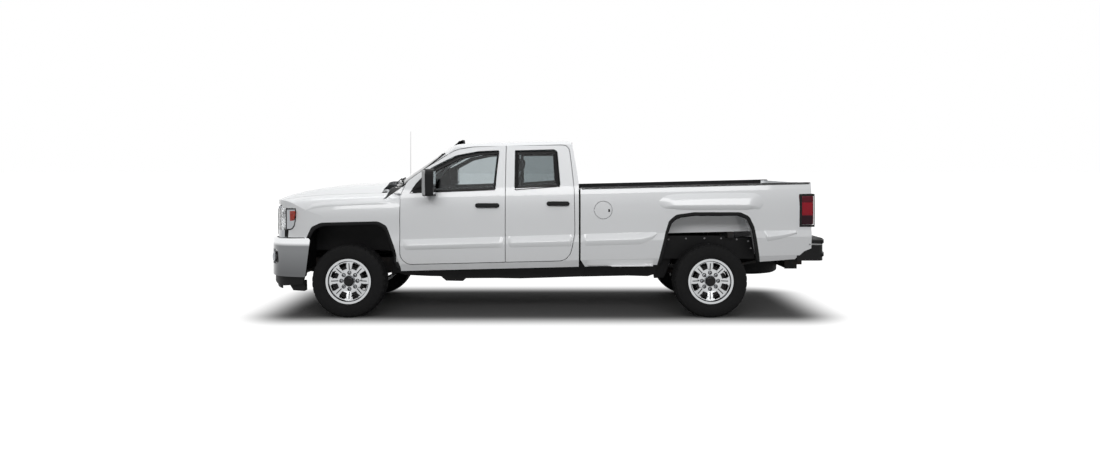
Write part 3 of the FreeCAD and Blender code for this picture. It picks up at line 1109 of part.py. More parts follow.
def rim_body(label):
    """A wheel: one window between two spokes, repeated round the axle. The first stands half a pitch off the top."""
    body = turned(label, rim_profile)
    half_pitch = math.pi / size.window_count
    cosine, sine = math.cos(half_pitch), math.sin(half_pitch)
    points = [(ring_share(a * cosine - b * sine), ring_share(a * sine + b * cosine)) for a, b in window_shares]
    sketch = profile(body, "YZ_Plane", points, label + "_window")
    bind(sketch, AttachmentOffset__Base__z="rim_width*0.28")
    pierce = body.newObject("PartDesign::Pocket", label + "_pierce")
    pierce.Profile = sketch
    pierce.Type = 1
    pierce.Reversed = True
    around = body.newObject("PartDesign::PolarPattern", label + "_windows")
    around.Originals = [pierce]
    around.Axis = (sketch, ["N_Axis"])
    around.Angle = 360
    around.Occurrences = int(size.window_count)
    around.setExpression("Occurrences", bound("window_count"))
    body.Tip = around
    return body


tyre_body, rim = turned("tyre_front_left", tyre_profile), rim_body("rim_front_left")
document.recompute()
wheel_y = size.track_width / 2
turns = {LEFT: FreeCAD.Rotation(Vector(0, 0, 1), -90), RIGHT: FreeCAD.Rotation(Vector(0, 0, 1), 90)}
tyre_shape, rim_shape = tyre_body.Shape.copy(), rim.Shape.copy()
lugs = []
for i in range(int(size.window_count)):
    angle = 360 * i / size.window_count
    spot = FreeCAD.Rotation(Vector(1, 0, 0), angle).multVec(Vector(0, 0, size.lug_circle_diameter / 2))
    lugs.append(Part.makeCylinder(size.lug_hole_radius, size.overrun * 2, spot, Vector(1, 0, 0)))
rim_drilled = rim_shape.cut(lugs)
for end, x in (("front", front_axle_x), ("rear", rear_axle_x)):
    for side, name in ((LEFT, "left"), (RIGHT, "right")):
        place = FreeCAD.Placement(Vector(x, side * wheel_y, tyre_radius), turns[side])
        if (end, name) == ("front", "left"):
            tyre_body.Placement = place
            bind(tyre_body, Placement__Base__z="tyre_diameter/2")
            named.append("tyre_front_left")
        else:
            item = add(f"tyre_{end}_{name}", tyre_shape)
            item.Placement = place
        label = f"rim_{end}_{name}"
        if (end, name) == ("front", "left"):
            rim.Label = "rim_blank"
        item = add(label, rim_drilled)
        item.Placement = place
        item.Label = label

spare_z = rail_low + size.rail_depth_size * 0.55
spare_tyre = tyre_shape.copy()
spare_tyre.Placement = FreeCAD.Placement(Vector(rear_axle_x + radius * 1.4, 0, spare_z), FreeCAD.Rotation(Vector(0, 1, 0), 90))
spare_rim = rim_shape.copy()
spare_rim.Placement = spare_tyre.Placement
add("spare_wheel", Part.Compound([spare_tyre, spare_rim]))


# Mirrors on arms from a sail in the front corner of each front window
mirror_x, mirror_z = cab_front_x + radius * 0.85, size.belt_height + radius * 0.36
sail_outline = grown(window_front_outline, -size.fit_gap)
sail = band(size.lip_depth * 0.6, *wide_span).common(everywhere(sail_outline))
sail = sail.common(block(cowl_x, cab_front_x + size.cab_length * 0.165, 0, far_out, 0, size.roof_height))
head = section_prism([
    (half_width + radius * 0.06, mirror_z - radius * 0.37, radius * 0.08), (half_width + radius * 0.64, mirror_z - radius * 0.35, radius * 0.12),
    (half_width + radius * 0.66, mirror_z + radius * 0.34, radius * 0.14), (half_width + radius * 0.08, mirror_z + radius * 0.37, radius * 0.08)],
    mirror_x - radius * 0.15, mirror_x + radius * 0.13, False)
bars = [pipe([(mirror_x - radius * 0.05, half_width * 0.94, mirror_z - radius * d), (mirror_x, half_width + radius * 0.1, mirror_z - radius * d)],
             size.hinge_arm_width) for d in (0.27, 0.02)]
mirror_right = sail.fuse([head] + bars)
add("mirror_right", mirror_right)
add("mirror_left", mirrored(mirror_right))
for side, name in ((LEFT, "left"), (RIGHT, "right")):
    item = document.getObject(f"window_front_{name}")
    item.Shape = item.Shape.cut(band(size.lip_depth * 0.6, *wide_span).common(block(
        cowl_x, cab_front_x + size.cab_length * 0.165 + size.fit_gap, -far_out, far_out, 0, size.roof_height)))

# Inside the cab
dash_outline = raised([
    (cab_front_x - wall, size.belt_height * 0.72), (cab_front_x + radius * 0.55, size.belt_height * 0.74, wall * 2),
    (cab_front_x + radius * 0.85, size.belt_height * 0.93, wall * 1.5), (cab_front_x + radius * 0.6, size.belt_height, wall),
    (cab_front_x - wall, size.belt_height * 0.97)])
dash = side_prism(dash_outline, -half_width * 0.87, half_width * 0.87)
dash = dash.cut(door_swings())
add("dashboard", dash.common(cab_block(size.door_thickness + size.fit_gap, wall, size.floor_height, *wide_span)))
wheel_centre = Vector(cab_front_x + radius * 1.3, -half_width * 0.38, size.belt_height * 0.93)
column_way = Vector(-1, 0, -0.45)
wheel_ring = Part.makeTorus(radius * 0.45, radius * 0.035, wheel_centre, column_way)
column = Part.makeCylinder(radius * 0.07, radius * 1.0, wheel_centre, column_way)
boss = Part.makeCylinder(radius * 0.17, radius * 0.12, wheel_centre, column_way)
spokes = [pipe([tuple(wheel_centre), tuple(wheel_centre + way * radius * 0.45)], radius * 0.03)
          for way in (Vector(0, 1, 0), Vector(0, -1, 0), Vector(0.41, 0, -0.91))]
add("steering_wheel", wheel_ring.fuse([column, boss] + spokes).cut(dash))


def seat(x, y_low, y_high):
    """Cushion, back and headrest with round edges, standing on the floor."""
    z = size.floor_height + rise(x)
    cushion = [(x - radius * 0.65, z + radius * 0.62, radius * 0.12), (x + radius * 0.62, z + radius * 0.5, radius * 0.1),
               (x + radius * 0.6, z + radius * 0.85, radius * 0.1), (x - radius * 0.62, z + radius * 0.97, radius * 0.14)]
    back = [(x + radius * 0.3, z + radius * 0.72, radius * 0.1), (x + radius * 0.66, z + radius * 0.66, radius * 0.1),
            (x + radius * 1.02, z + radius * 2.2, radius * 0.14), (x + radius * 0.74, z + radius * 2.25, radius * 0.1)]
    rest = [(x + radius * 0.8, z + radius * 2.3, radius * 0.1), (x + radius * 1.02, z + radius * 2.27, radius * 0.1),
            (x + radius * 1.1, z + radius * 2.66, radius * 0.1), (x + radius * 0.9, z + radius * 2.7, radius * 0.1)]
    mid = (y_low + y_high) / 2
    inset = radius * 0.34
    base = block(x - radius * 0.45, x + radius * 0.5, y_low + wall, y_high - wall, z - radius * 0.02, z + radius * 0.7)
    neck = block(x + radius * 0.86, x + radius * 0.96, mid - wall, mid + wall, z + radius * 2.1, z + radius * 2.4)
    return side_prism(cushion, y_low, y_high).fuse([
        side_prism(back, y_low, y_high), side_prism(rest, mid - inset, mid + inset), base, neck])


seat_x, bench_x = cab_front_x + radius * 2.2, cab_front_x + radius * 3.95
seat_low_y, seat_high_y = half_width * 0.16, half_width * 0.72
front_seat = seat(seat_x, seat_low_y, seat_high_y)
add("front_seats", both_sides(front_seat))
console = block(seat_x - radius * 0.9, seat_x + radius * 0.6, -seat_low_y + wall * 0.3, seat_low_y - wall * 0.3,
                size.floor_height + rise(seat_x) - wall, size.floor_height + radius * 0.95)
add("centre_console", console.cut(cab_middle))
bench = seat(bench_x, size.fit_gap * 0, half_width * 0.8)
bench = bench.common(block(nose_x, cab_rear_x - wall * 2.2, 0, half_width, 0, size.roof_height))
bench = bench.common(cab_block(size.door_thickness + wall * 0.5, wall * 2, size.floor_height, *wide_span))
add("rear_bench", bench.fuse(mirrored(bench)))

# Aerials: a whip on the right wing and a fin on the roof
whip_x, whip_y = front_axle_x + radius * 0.9, half_width * 0.9
whip = Part.makeCone(size.hinge_pin_radius * 0.6, size.hinge_pin_radius * 0.3, radius * 2.04, Vector(whip_x, whip_y, radius * 3.2))
foot = Part.makeCone(size.hinge_depth, size.hinge_depth * 0.6, size.flange_thickness * 1.5, Vector(whip_x, whip_y, radius * 3.18))
fin_foot_z, fin_top_z = size.roof_height - wall * 1.6, size.roof_height + wall * 0.65
fin_shares = [(-0.765, 0), (-0.684, 0), (-0.687, 0.45), (-0.7, 0.72), (-0.706, 1), (-0.726, 1)]
fin = side_prism(raised([(cab_rear_x + size.cab_length * u, share_between(fin_foot_z, fin_top_z, v))
                         for u, v in fin_shares]), -size.hinge_depth, size.hinge_depth)
add("antennas", Part.Compound([whip.fuse(foot).cut(wing_shell), fin.cut(cab_roof)]))


# Pieces that lie against each other: the first gives way to the rest
gives_way = [
    ("front_fenders", "cab_sides", "cab_floor"), ("front_wheel_liners", "cab_sides", "cab_floor", "front_fenders", "frame_rails"),
    ("dashboard", "cab_sides", "cab_floor", "front_fenders"), ("steering_wheel", "cab_floor"), ("front_seats", "cab_floor"),
    ("rear_bench", "cab_floor"), ("bed_tub", "bedsides"), ("rear_bumper", "bedsides", "frame_rails", "hitch_receiver"),
    ("front_bumper", "front_fenders", "frame_rails"), ("air_dam", "front_bumper"), ("driveline", "rear_axle", "frame_rails"),
    ("mirror_left", "door_front_left", "window_front_left"), ("mirror_right", "door_front_right", "window_front_right"),
    ("leaf_springs", "frame_rails"), ("exhaust", "frame_rails", "engine", "driveline"), ("grille", "front_fenders", "front_bumper"),
    ("headlights", "front_fenders", "front_bumper"), ("rear_wheel_liners", "bedsides", "bed_tub"), ("spare_wheel", "frame_rails"),
]


def named_item(label):
    return [item for item in document.Objects if item.Label == label][0]


one_a_side = ("front_fenders", "front_wheel_liners")
for first, *others in gives_way:
    item = named_item(first)
    rest = item.Shape.cut([named_item(other).Shape for other in others])
    if first in one_a_side:
        rest = Part.Compound(sorted(rest.Solids, key=lambda solid: solid.Volume)[-2:])
    item.Shape = rest


# Every object is sound before any file is written
document.recompute()
os.makedirs("parts", exist_ok=True)
pieces = [item for item in document.Objects if item.isDerivedFrom("Part::Feature") and item.Label in named]
for item in document.Objects:
    if "Invalid" in item.State or "Error" in item.State:
        raise RuntimeError(item.Label + " has state " + str(item.State))
for item in pieces:
    if item.Shape.isNull() or not item.Shape.isValid() or not item.Shape.Solids:
        raise RuntimeError(item.Label + " has no sound shape")
for item in pieces:
    item.Shape.exportStep("parts/" + item.Label + ".step")
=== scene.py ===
"""A white full-size pickup truck on a plain studio floor."""
import math

import bmesh
import bpy
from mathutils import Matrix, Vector
from mathutils.bvhtree import BVHTree


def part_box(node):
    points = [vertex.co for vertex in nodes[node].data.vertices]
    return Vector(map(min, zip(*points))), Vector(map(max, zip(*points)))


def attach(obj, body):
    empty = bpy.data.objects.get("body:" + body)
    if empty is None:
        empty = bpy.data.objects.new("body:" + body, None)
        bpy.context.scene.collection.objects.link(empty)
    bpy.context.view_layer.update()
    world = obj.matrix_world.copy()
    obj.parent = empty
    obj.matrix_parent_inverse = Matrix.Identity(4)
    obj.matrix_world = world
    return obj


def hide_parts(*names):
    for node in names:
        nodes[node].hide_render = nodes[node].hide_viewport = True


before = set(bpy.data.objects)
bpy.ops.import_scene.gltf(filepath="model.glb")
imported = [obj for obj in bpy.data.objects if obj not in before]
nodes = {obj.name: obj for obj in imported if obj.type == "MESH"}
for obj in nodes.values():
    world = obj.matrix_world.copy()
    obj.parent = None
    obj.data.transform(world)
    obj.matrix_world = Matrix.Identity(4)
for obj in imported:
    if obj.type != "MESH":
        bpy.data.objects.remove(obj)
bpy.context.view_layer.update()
SIDES = (("left", -1), ("right", 1))
ENDS = ("front", "rear")

# Camera: level, at the photograph's distance, height and angle
PHOTO_WIDTH, PHOTO_HEIGHT = 1100, 450
FOCAL = 814.5            # in photograph pixels
CENTRE_PX, HORIZON_PX = 550, 165
EYE_X, EYE_BACK, EYE_HEIGHT = 0.0665, 10.002, 1.70
PHOTO_EYE_HEIGHT = 1.701
SENSOR = 36.0            # mm
scene = bpy.context.scene
camera_data = bpy.data.cameras.new("camera")
camera_data.sensor_width = SENSOR
camera_data.sensor_fit = "HORIZONTAL"
camera_data.lens = SENSOR * FOCAL / PHOTO_WIDTH
camera_data.shift_y = (HORIZON_PX - PHOTO_HEIGHT / 2) / PHOTO_WIDTH
camera_data.clip_end = 200.0
camera = bpy.data.objects.new("camera", camera_data)
camera.location = (EYE_X, -EYE_BACK, EYE_HEIGHT)
camera.rotation_euler = (math.radians(90), 0, 0)
scene.collection.objects.link(camera)
scene.camera = camera
scene.view_settings.view_transform = "Standard"


# Materials, each built from shader nodes
def add_node(tree, kind, inputs=None, **settings):
    """A new shader node; inputs gives each socket a value or another node's output."""
    made = tree.nodes.new(kind)
    for key, value in settings.items():
        setattr(made, key, value)
    for key, value in (inputs or {}).items():
        if isinstance(value, bpy.types.NodeSocket):
            tree.links.new(value, made.inputs[key])
        else:
            made.inputs[key].default_value = value
    return made


def map_range(tree, value, low, high, low_at=0.0, high_at=1.0, **settings):
    """Maps value from low_at..high_at to low..high."""
    inputs = {"Value": value, "From Min": low_at, "From Max": high_at, "To Min": low, "To Max": high}
    return add_node(tree, "ShaderNodeMapRange", inputs, **settings).outputs["Result"]


def calculate(tree, operation, a, b):
    return add_node(tree, "ShaderNodeMath", {0: a, 1: b}, operation=operation).outputs["Value"]


def seen_rays(tree):
    """1 for rays from the camera, from mirrors and through glass, and 0 for the light on the object."""
    rays = add_node(tree, "ShaderNodeLightPath").outputs
    direct = calculate(tree, "MAXIMUM", rays["Is Camera Ray"], rays["Is Glossy Ray"])
    return calculate(tree, "MAXIMUM", direct, rays["Is Transmission Ray"])


def darker(colour, share):
    return tuple(c * share for c in colour)


class Shader:
    """A material with a Principled shader and small helpers for its noise, mixes and bumps."""

    def __init__(self, name, colour, roughness=0.5, metallic=0.0):
        self.material = bpy.data.materials.new(name)
        self.material.use_nodes = True
        self.tree = self.material.node_tree
        self.main = self.tree.nodes["Principled BSDF"]
        self.set(Base_Color=(*colour, 1), Roughness=roughness, Metallic=metallic)
        self.place = add_node(self.tree, "ShaderNodeTexCoord").outputs["Object"]
        self.normal = None

    def set(self, **values):
        for key, value in values.items():
            self.main.inputs[key.replace("_", " ")].default_value = value

    def noise(self, scale, detail=4.0, rough=0.55):
        inputs = {"Scale": scale, "Detail": detail, "Roughness": rough, "Vector": self.place}
        return add_node(self.tree, "ShaderNodeTexNoise", inputs).outputs["Fac"]

    def cells(self, scale):
        inputs = {"Scale": scale, "Vector": self.place}
        return add_node(self.tree, "ShaderNodeTexVoronoi", inputs).outputs["Distance"]

    def bands(self, scale, direction, distortion=0.0):
        inputs = {"Scale": scale, "Distortion": distortion, "Vector": self.place}
        made = add_node(self.tree, "ShaderNodeTexWave", inputs, bands_direction=direction)
        return made.outputs["Fac"]

    def height(self):
        return add_node(self.tree, "ShaderNodeSeparateXYZ", {"Vector": self.place}).outputs["Z"]

    def ramp(self, value, low, high, low_at=0.0, high_at=1.0):
        return map_range(self.tree, value, low, high, low_at, high_at)

    def tint(self, factor, colour):
        """Mixes the surface colour towards colour where factor is high."""
        source = self.main.inputs["Base Color"]
        below = source.links[0].from_socket if source.links else source.default_value
        inputs = {"Factor": factor, "A": below, "B": (*colour, 1)}
        mix = add_node(self.tree, "ShaderNodeMix", inputs, data_type="RGBA")
        self.tree.links.new(mix.outputs["Result"], source)

    def rough(self, value, low, high):
        self.tree.links.new(self.ramp(value, low, high), self.main.inputs["Roughness"])

    def bump(self, value, depth, strength):
        inputs = {"Height": value, "Distance": depth, "Strength": strength}
        if self.normal:
            inputs["Normal"] = self.normal
        self.normal = add_node(self.tree, "ShaderNodeBump", inputs).outputs["Normal"]
        self.tree.links.new(self.normal, self.main.inputs["Normal"])


def paint(name, colour):
    """Clear-coated car paint with faint orange peel and road dust low on the body."""
    s = Shader(name, colour, 0.38)
    s.set(Coat_Weight=1.0, Coat_Roughness=0.04, Coat_IOR=1.5)
    s.tint(s.ramp(s.noise(2.5, 3), 0.0, 0.06), darker(colour, 0.93))
    low_down = s.ramp(s.height(), 0.35, 0.0, 0.45, 0.75)
    patches = s.ramp(s.noise(9, 8, 0.65), 0.2, 1.0, 0.35, 0.75)
    s.tint(calculate(s.tree, "MULTIPLY", low_down, patches), (0.55, 0.53, 0.5))
    s.rough(s.noise(5, 6), 0.3, 0.42)
    s.bump(s.noise(320, 2), 0.00006, 0.5)
    return s.material


def metal(name, colour, low, high):
    s = Shader(name, colour, low, 1.0)
    s.rough(s.noise(14, 6, 0.6), low, high)
    s.tint(s.ramp(s.noise(8.4, 4), 0.0, 0.12), darker(colour, 0.8))
    s.bump(s.noise(350, 3), 0.00004, 0.4)
    return s.material


def bumper_chrome_painted_reflection():
    """Chrome with a painted reflection: bright on the rolled top edge and darker down the face, by height, as
    the sky and floor would show in it.
    """
    s = Shader("bumper_chrome_painted_reflection", (0.78, 0.79, 0.8), 0.08, 1.0)
    # Painted reflection: full bright chrome above 0.835 m, darker below 0.8 m and darker still towards 0.5 m
    s.tint(s.ramp(s.height(), 1.0, 0.0, 0.8, 0.835), (0.185, 0.19, 0.195))
    s.tint(s.ramp(s.height(), 0.85, 0.0, 0.5, 0.74), (0.1, 0.102, 0.105))
    s.rough(s.noise(9, 5), 0.07, 0.16)
    s.bump(s.noise(350, 3), 0.00004, 0.4)
    return s.material


def plastic(name, colour, low=0.42, high=0.62, grain=900.0, depth=0.00022, shine=0.3):
    """Moulded plastic with a fine leather-like grain and slightly faded patches."""
    s = Shader(name, colour, low)
    s.set(Specular_IOR_Level=shine)
    faded = tuple(min(1, c * 1.6 + 0.002) for c in colour)
    s.tint(s.ramp(s.noise(6, 5), 0.0, 0.35, 0.4, 0.8), faded)
    s.rough(s.noise(18, 5), low, high)
    s.bump(s.cells(grain), depth, 0.7)
    return s.material


def rusty_steel(name, colour, rust):
    s = Shader(name, colour, 0.6, 0.2)
    s.set(Specular_IOR_Level=0.3)
    s.tint(s.ramp(s.noise(7, 8, 0.7), 0.0, rust, 0.45, 0.75), (0.16, 0.08, 0.045))
    s.tint(s.ramp(s.noise(35, 6, 0.6), 0.0, 0.4, 0.5, 0.8), darker(colour, 1.8))
    s.rough(s.noise(22, 6), 0.5, 0.8)
    s.bump(s.noise(260, 4), 0.0003, 0.6)
    return s.material


def rubber(name, colour):
    s = Shader(name, colour, 0.7)
    s.set(Specular_IOR_Level=0.14)
    s.tint(s.ramp(s.noise(12, 6), 0.0, 0.5, 0.4, 0.8), darker(colour, 1.7))
    s.rough(s.noise(30, 5), 0.58, 0.82)
    s.bump(s.noise(420, 3), 0.0002, 0.5)
    return s.material


def window_glass(name, colour, shine=0.5):
    s = Shader(name, colour, 0.0)
    s.set(Transmission_Weight=1.0, IOR=1.45, Specular_IOR_Level=shine)
    s.tint(s.ramp(s.noise(3, 3), 0.0, 0.12), darker(colour, 0.9))
    s.rough(s.noise(25, 6, 0.7), 0.0, 0.025)
    return s.material


def lens(name, colour, clear):
    """A ribbed lamp lens; one that is hardly clear is kept from shining white."""
    s = Shader(name, colour, 0.05)
    s.set(Transmission_Weight=clear, IOR=1.49, Specular_IOR_Level=0.5 if clear > 0.5 else 0.14)
    s.tint(s.ramp(s.noise(8, 3), 0.0, 0.15), darker(colour, 0.75))
    s.bump(s.bands(180, "Z"), 0.0004, 0.5)
    return s.material


def cloth(name, colour, weave=420.0):
    s = Shader(name, colour, 0.9)
    s.set(Sheen_Weight=0.35, Sheen_Roughness=0.45)
    s.tint(s.ramp(s.noise(160, 4), 0.0, 0.5), darker(colour, 1.9))
    s.tint(s.ramp(s.bands(weave, "X", 0.6), 0.0, 0.25), darker(colour, 0.5))
    for direction in "XZ":
        s.bump(s.bands(weave, direction, 0.6), 0.0004, 0.7)
    return s.material


# Each look is a material with the record's slot for it
CHROME = metal("chrome", (0.36, 0.37, 0.385), 0.06, 0.15)
LOOKS = {
    "paint": (paint("white_paint", (0.83, 0.845, 0.86)), "white_paint"),
    "chrome": (CHROME, "chrome"),
    "nut_chrome": (CHROME, "wheel_chrome"),
    "bumper_chrome_painted_reflection": (bumper_chrome_painted_reflection(), "chrome"),
    "wheel": (metal("wheel_metal", (0.5, 0.51, 0.52), 0.1, 0.2), "wheel_chrome"),
    "black": (plastic("black_plastic", (0.005, 0.005, 0.0054), shine=0.16), "black_plastic"),
    "gloss_black": (plastic("gloss_black", (0.004, 0.004, 0.0045), 0.08, 0.16, 60.0, 0.00001, 0.2),
                    "black_plastic"),
    "mesh": (plastic("mesh_plastic", (0.007, 0.007, 0.0075), 0.5, 0.7, 55.0, 0.004), "black_plastic"),
    "mirror_grey": (plastic("mirror_grey", (0.36, 0.365, 0.37), 0.3, 0.45, 300.0, 0.0001, 0.5),
                    "black_plastic"),
    # Grey standing for the white-painted wheelhouse in shade: painted shade
    "liner_painted_shade_grey": (plastic("grey_liner_painted_shade", (0.42, 0.43, 0.44), 0.5, 0.7, 200.0, 0.0002), "black_plastic"),
    "dark_steel": (rusty_steel("dark_steel", (0.011, 0.011, 0.0115), 0.2), "dark_steel"),
    "steel": (rusty_steel("bare_steel", (0.3, 0.3, 0.31), 0.45), "dark_steel"),
    "rubber": (rubber("tyre_rubber", (0.006, 0.006, 0.0063)), "rubber"),
    "seal": (rubber("window_seal", (0.004, 0.004, 0.0045)), "rubber"),
    "glass": (window_glass("window_glass", (0.62, 0.66, 0.67)), "glass"),
    "screen": (window_glass("windscreen_glass", (0.14, 0.155, 0.155), 0.08), "glass"),
    "dark_glass": (window_glass("privacy_glass", (0.42, 0.46, 0.47)), "glass"),
    "lamp": (lens("lamp_lens", (0.9, 0.92, 0.94), 0.85), "lamp"),
    "red": (lens("red_lens", (0.14, 0.002, 0.014), 0.1), "red_lamp"),
    # Lighter and darker copies of the red lens: a painted highlight and painted shade
    "red_painted_highlight": (lens("red_lens_painted_highlight", (0.42, 0.004, 0.02), 0.1), "red_lamp"),
    "red_painted_shade": (lens("red_lens_painted_shade", (0.03, 0.001, 0.008), 0.05), "red_lamp"),
    "amber": (lens("amber_lens", (0.62, 0.06, 0.035), 0.15), "red_lamp"),
    "cloth": (cloth("seat_cloth", (0.035, 0.036, 0.04)), "seat_cloth"),
    "cabin": (plastic("cabin_plastic", (0.016, 0.0165, 0.018), 0.5, 0.7, 700.0, 0.0003), "cabin_plastic"),
    "lining": (cloth("headliner", (0.3, 0.29, 0.28), 300.0), "cabin_plastic"),
    "carpet": (cloth("carpet", (0.03, 0.03, 0.032), 240.0), "cabin_plastic"),
}
# The CAD nodes of each look, by the start of their names
CAD_LOOKS = {
    "paint": "hood tailgate fuel_door door_ bedsides front_fenders cab_ bed_tub",
    "chrome": "grille",
    "bumper_chrome_painted_reflection": "front_bumper",
    "black": "air_dam bed_rail_caps front_wheel_liners mirror_ rear_bumper antennas",
    # The rear wheel liners in grey, as painted shade of white paint
    "liner_painted_shade_grey": "rear_wheel_liners",
    "dark_steel": "frame_rails hitch leaf_springs rear_axle front_suspension driveline engine knuckle_",
    "steel": "exhaust",
    "cabin": "dashboard steering_wheel centre_console fuel_tank",
    "cloth": "front_seats rear_bench",
    "lamp": "headlights",
    "red": "tail_lights",
    "glass": "window_front_",
    "screen": "windscreen",
    "dark_glass": "rear_window window_rear_",
    "rubber": "spare_wheel tyre_",
    "wheel": "rim_",
}
for look, starts in CAD_LOOKS.items():
    for name, item in nodes.items():
        if name.startswith(tuple(starts.split())):
            for slot in item.material_slots:
                slot.material = LOOKS[look][0]

# Floor, whose own light the camera and mirrors see. That light is left out round the truck, where the floor's
# own dark grey shows as a painted shadow around the real one, and is full further out, so that it ends in
# white
FLOOR_HALF = 150.0
SHADOW_BOX = (2.75, 0.75, 0)
SHADOW_FADE = 0.9
floor_mesh = bpy.data.meshes.new("floor")
corners = [(x * FLOOR_HALF, y * FLOOR_HALF, 0) for x, y in ((-1, -1), (1, -1), (1, 1), (-1, 1))]
floor_mesh.from_pydata(corners, [], [(0, 1, 2, 3)])
floor = bpy.data.objects.new("floor", floor_mesh)
scene.collection.objects.link(floor)
ground = Shader("floor", (0.15, 0.15, 0.15), 0.85)
ground.tint(ground.ramp(ground.noise(0.7, 4), 0.0, 0.05), (0.13, 0.13, 0.13))
ground.rough(ground.noise(3, 4), 0.8, 0.9)
ground.set(Specular_IOR_Level=0.05)
outside = ground.place
for step, value in (("ABSOLUTE", None), ("SUBTRACT", SHADOW_BOX), ("MAXIMUM", (0, 0, 0)), ("LENGTH", None)):
    inputs = {0: outside, 1: value} if value else {0: outside}
    made = add_node(ground.tree, "ShaderNodeVectorMath", inputs, operation=step)
    outside = made.outputs["Value" if step == "LENGTH" else "Vector"]
# Painted shadow: no glow inside the box round the truck, fading in over SHADOW_FADE
glow_past_painted_shadow = map_range(ground.tree, outside, 0.0, 1.0, 0.0, SHADOW_FADE, interpolation_type="SMOOTHERSTEP")
strength = calculate(ground.tree, "MULTIPLY", glow_past_painted_shadow, seen_rays(ground.tree))
glow = add_node(ground.tree, "ShaderNodeEmission", {"Strength": strength})
both = add_node(ground.tree, "ShaderNodeAddShader",
                {0: ground.main.outputs["BSDF"], 1: glow.outputs["Emission"]})
ground.tree.links.new(both.outputs["Shader"], ground.tree.nodes["Material Output"].inputs["Surface"])
floor_mesh.materials.append(ground.material)

# World: brighter overhead for the light on the object, and plain white where it is seen
world = bpy.data.worlds.new("studio")
scene.world = world
world.use_nodes = True
direction = add_node(world.node_tree, "ShaderNodeTexCoord").outputs["Generated"]
height = add_node(world.node_tree, "ShaderNodeSeparateXYZ", {"Vector": direction}).outputs["Z"]
sky = map_range(world.node_tree, height, 0.14, 0.6, 0.05, 0.9)
level = map_range(world.node_tree, seen_rays(world.node_tree), sky, 1.0)
background = world.node_tree.nodes["Background"].inputs
world.node_tree.links.new(level, background["Strength"])
background["Color"].default_value = (1, 1, 1, 1)


def area_light(name, place, target, size, power):
    data = bpy.data.lights.new(name, "AREA")
    data.shape = "RECTANGLE"
    data.size, data.size_y = size
    data.energy = power
    item = bpy.data.objects.new(name, data)
    item.location = place
    item.rotation_euler = (Vector(target) - Vector(place)).to_track_quat("-Z", "Y").to_euler()
    scene.collection.objects.link(item)


area_light("top_softbox", (0, -0.9, 6.2), (0, -0.6, 0.4), (9, 1.6), 125)
area_light("side_softbox", (0, -8.0, 4.6), (0, 0, 1.0), (9, 2.0), 265)


# Finding places on the CAD surfaces
def tree_of(names):
    """One ray-cast tree over some CAD nodes."""
    points, faces = [], []
    for name in names:
        item = nodes[name]
        start = len(points)
        points += [item.matrix_world @ v.co for v in item.data.vertices]
        faces += [tuple(start + i for i in p.vertices) for p in item.data.polygons]
    return BVHTree.FromPolygons(points, faces)


def onto(tree, origin, direction):
    """Where a ray meets a surface, with the normal that faces back along the ray."""
    hit, normal, _, _ = tree.ray_cast(Vector(origin), Vector(direction).normalized())
    if hit is None:
        return None, None
    return hit, -normal if normal.dot(Vector(direction)) > 0 else normal


DOORS = [f"{end}_{side_name}" for end in ENDS for side_name, _ in SIDES]
side_tree = tree_of(["bedsides", "front_fenders", "cab_sides"] + ["door_" + place for place in DOORS]
                    + ["fuel_door", "hood"] + ["window_" + place for place in DOORS])
OUTSIDE = 3.0           # rays at the body side start this far out
NO_SURFACE = 1.0        # the |y| that skin gives where it meets nothing


def skin(x, z, side, tree=None):
    """The body side's surface point and outward normal at x and z; side is -1 left, 1 right."""
    hit, normal = onto(tree or side_tree, (x, side * OUTSIDE, z), (0, -side, 0))
    if hit is None:
        return Vector((x, side * NO_SURFACE, z)), Vector((0, side, 0))
    return hit, normal


def on_body(x, z, side):
    """Whether skin meets an outer panel, and not the wheelhouse behind it."""
    return 0.9 < skin(x, z, side)[0].y * side != NO_SURFACE


def shooter(names, axis, start, sign):
    """A function from two coordinates to a surface point and normal, looking along axis from start."""
    surface = tree_of(names)
    k = "xyz".index(axis)
    direction = [0, 0, 0]
    direction[k] = sign

    def shoot(a, b):
        origin = [a, b]
        origin.insert(k, start)
        return onto(surface, origin, direction)
    return shoot


def at_plane(points, y=-1.0):
    """The (x, z) places, in metres, of photograph pixels on the plane at y."""
    scale = (EYE_BACK + y) / FOCAL
    return [(EYE_X + (px - CENTRE_PX) * scale, PHOTO_EYE_HEIGHT + (HORIZON_PX - py) * scale)
            for px, py in points]


# Paths and outlines
def span(low, high, count):
    return [low + (high - low) * k / count for k in range(count + 1)]


def straight(low, high, count, b):
    """A path of (a, b) points with one b."""
    return [(a, b) for a in span(low, high, count)]


def rectangle(left, right, top, bottom):
    return [(left, top), (right, top), (right, bottom), (left, bottom)]


def out_from(side, inner, outer):
    """The range of y between two distances from the middle, on one side."""
    return sorted((side * inner, side * outer))


def smooth_path(points, steps):
    """Catmull-Rom points through the given ones."""
    points = [Vector(p) for p in points]
    out = []
    for i in range(len(points) - 1):
        p1, p2 = points[i], points[i + 1]
        p0 = points[i - 1] if i > 0 else p1
        p3 = points[i + 2] if i + 2 < len(points) else p2
        for k in range(steps):
            t = k / steps
            out.append(0.5 * ((2 * p1) + (p2 - p0) * t + (2 * p0 - 5 * p1 + 4 * p2 - p3) * t * t
                              + (3 * p1 - p0 - 3 * p2 + p3) * t ** 3))
    return out + [points[-1]]


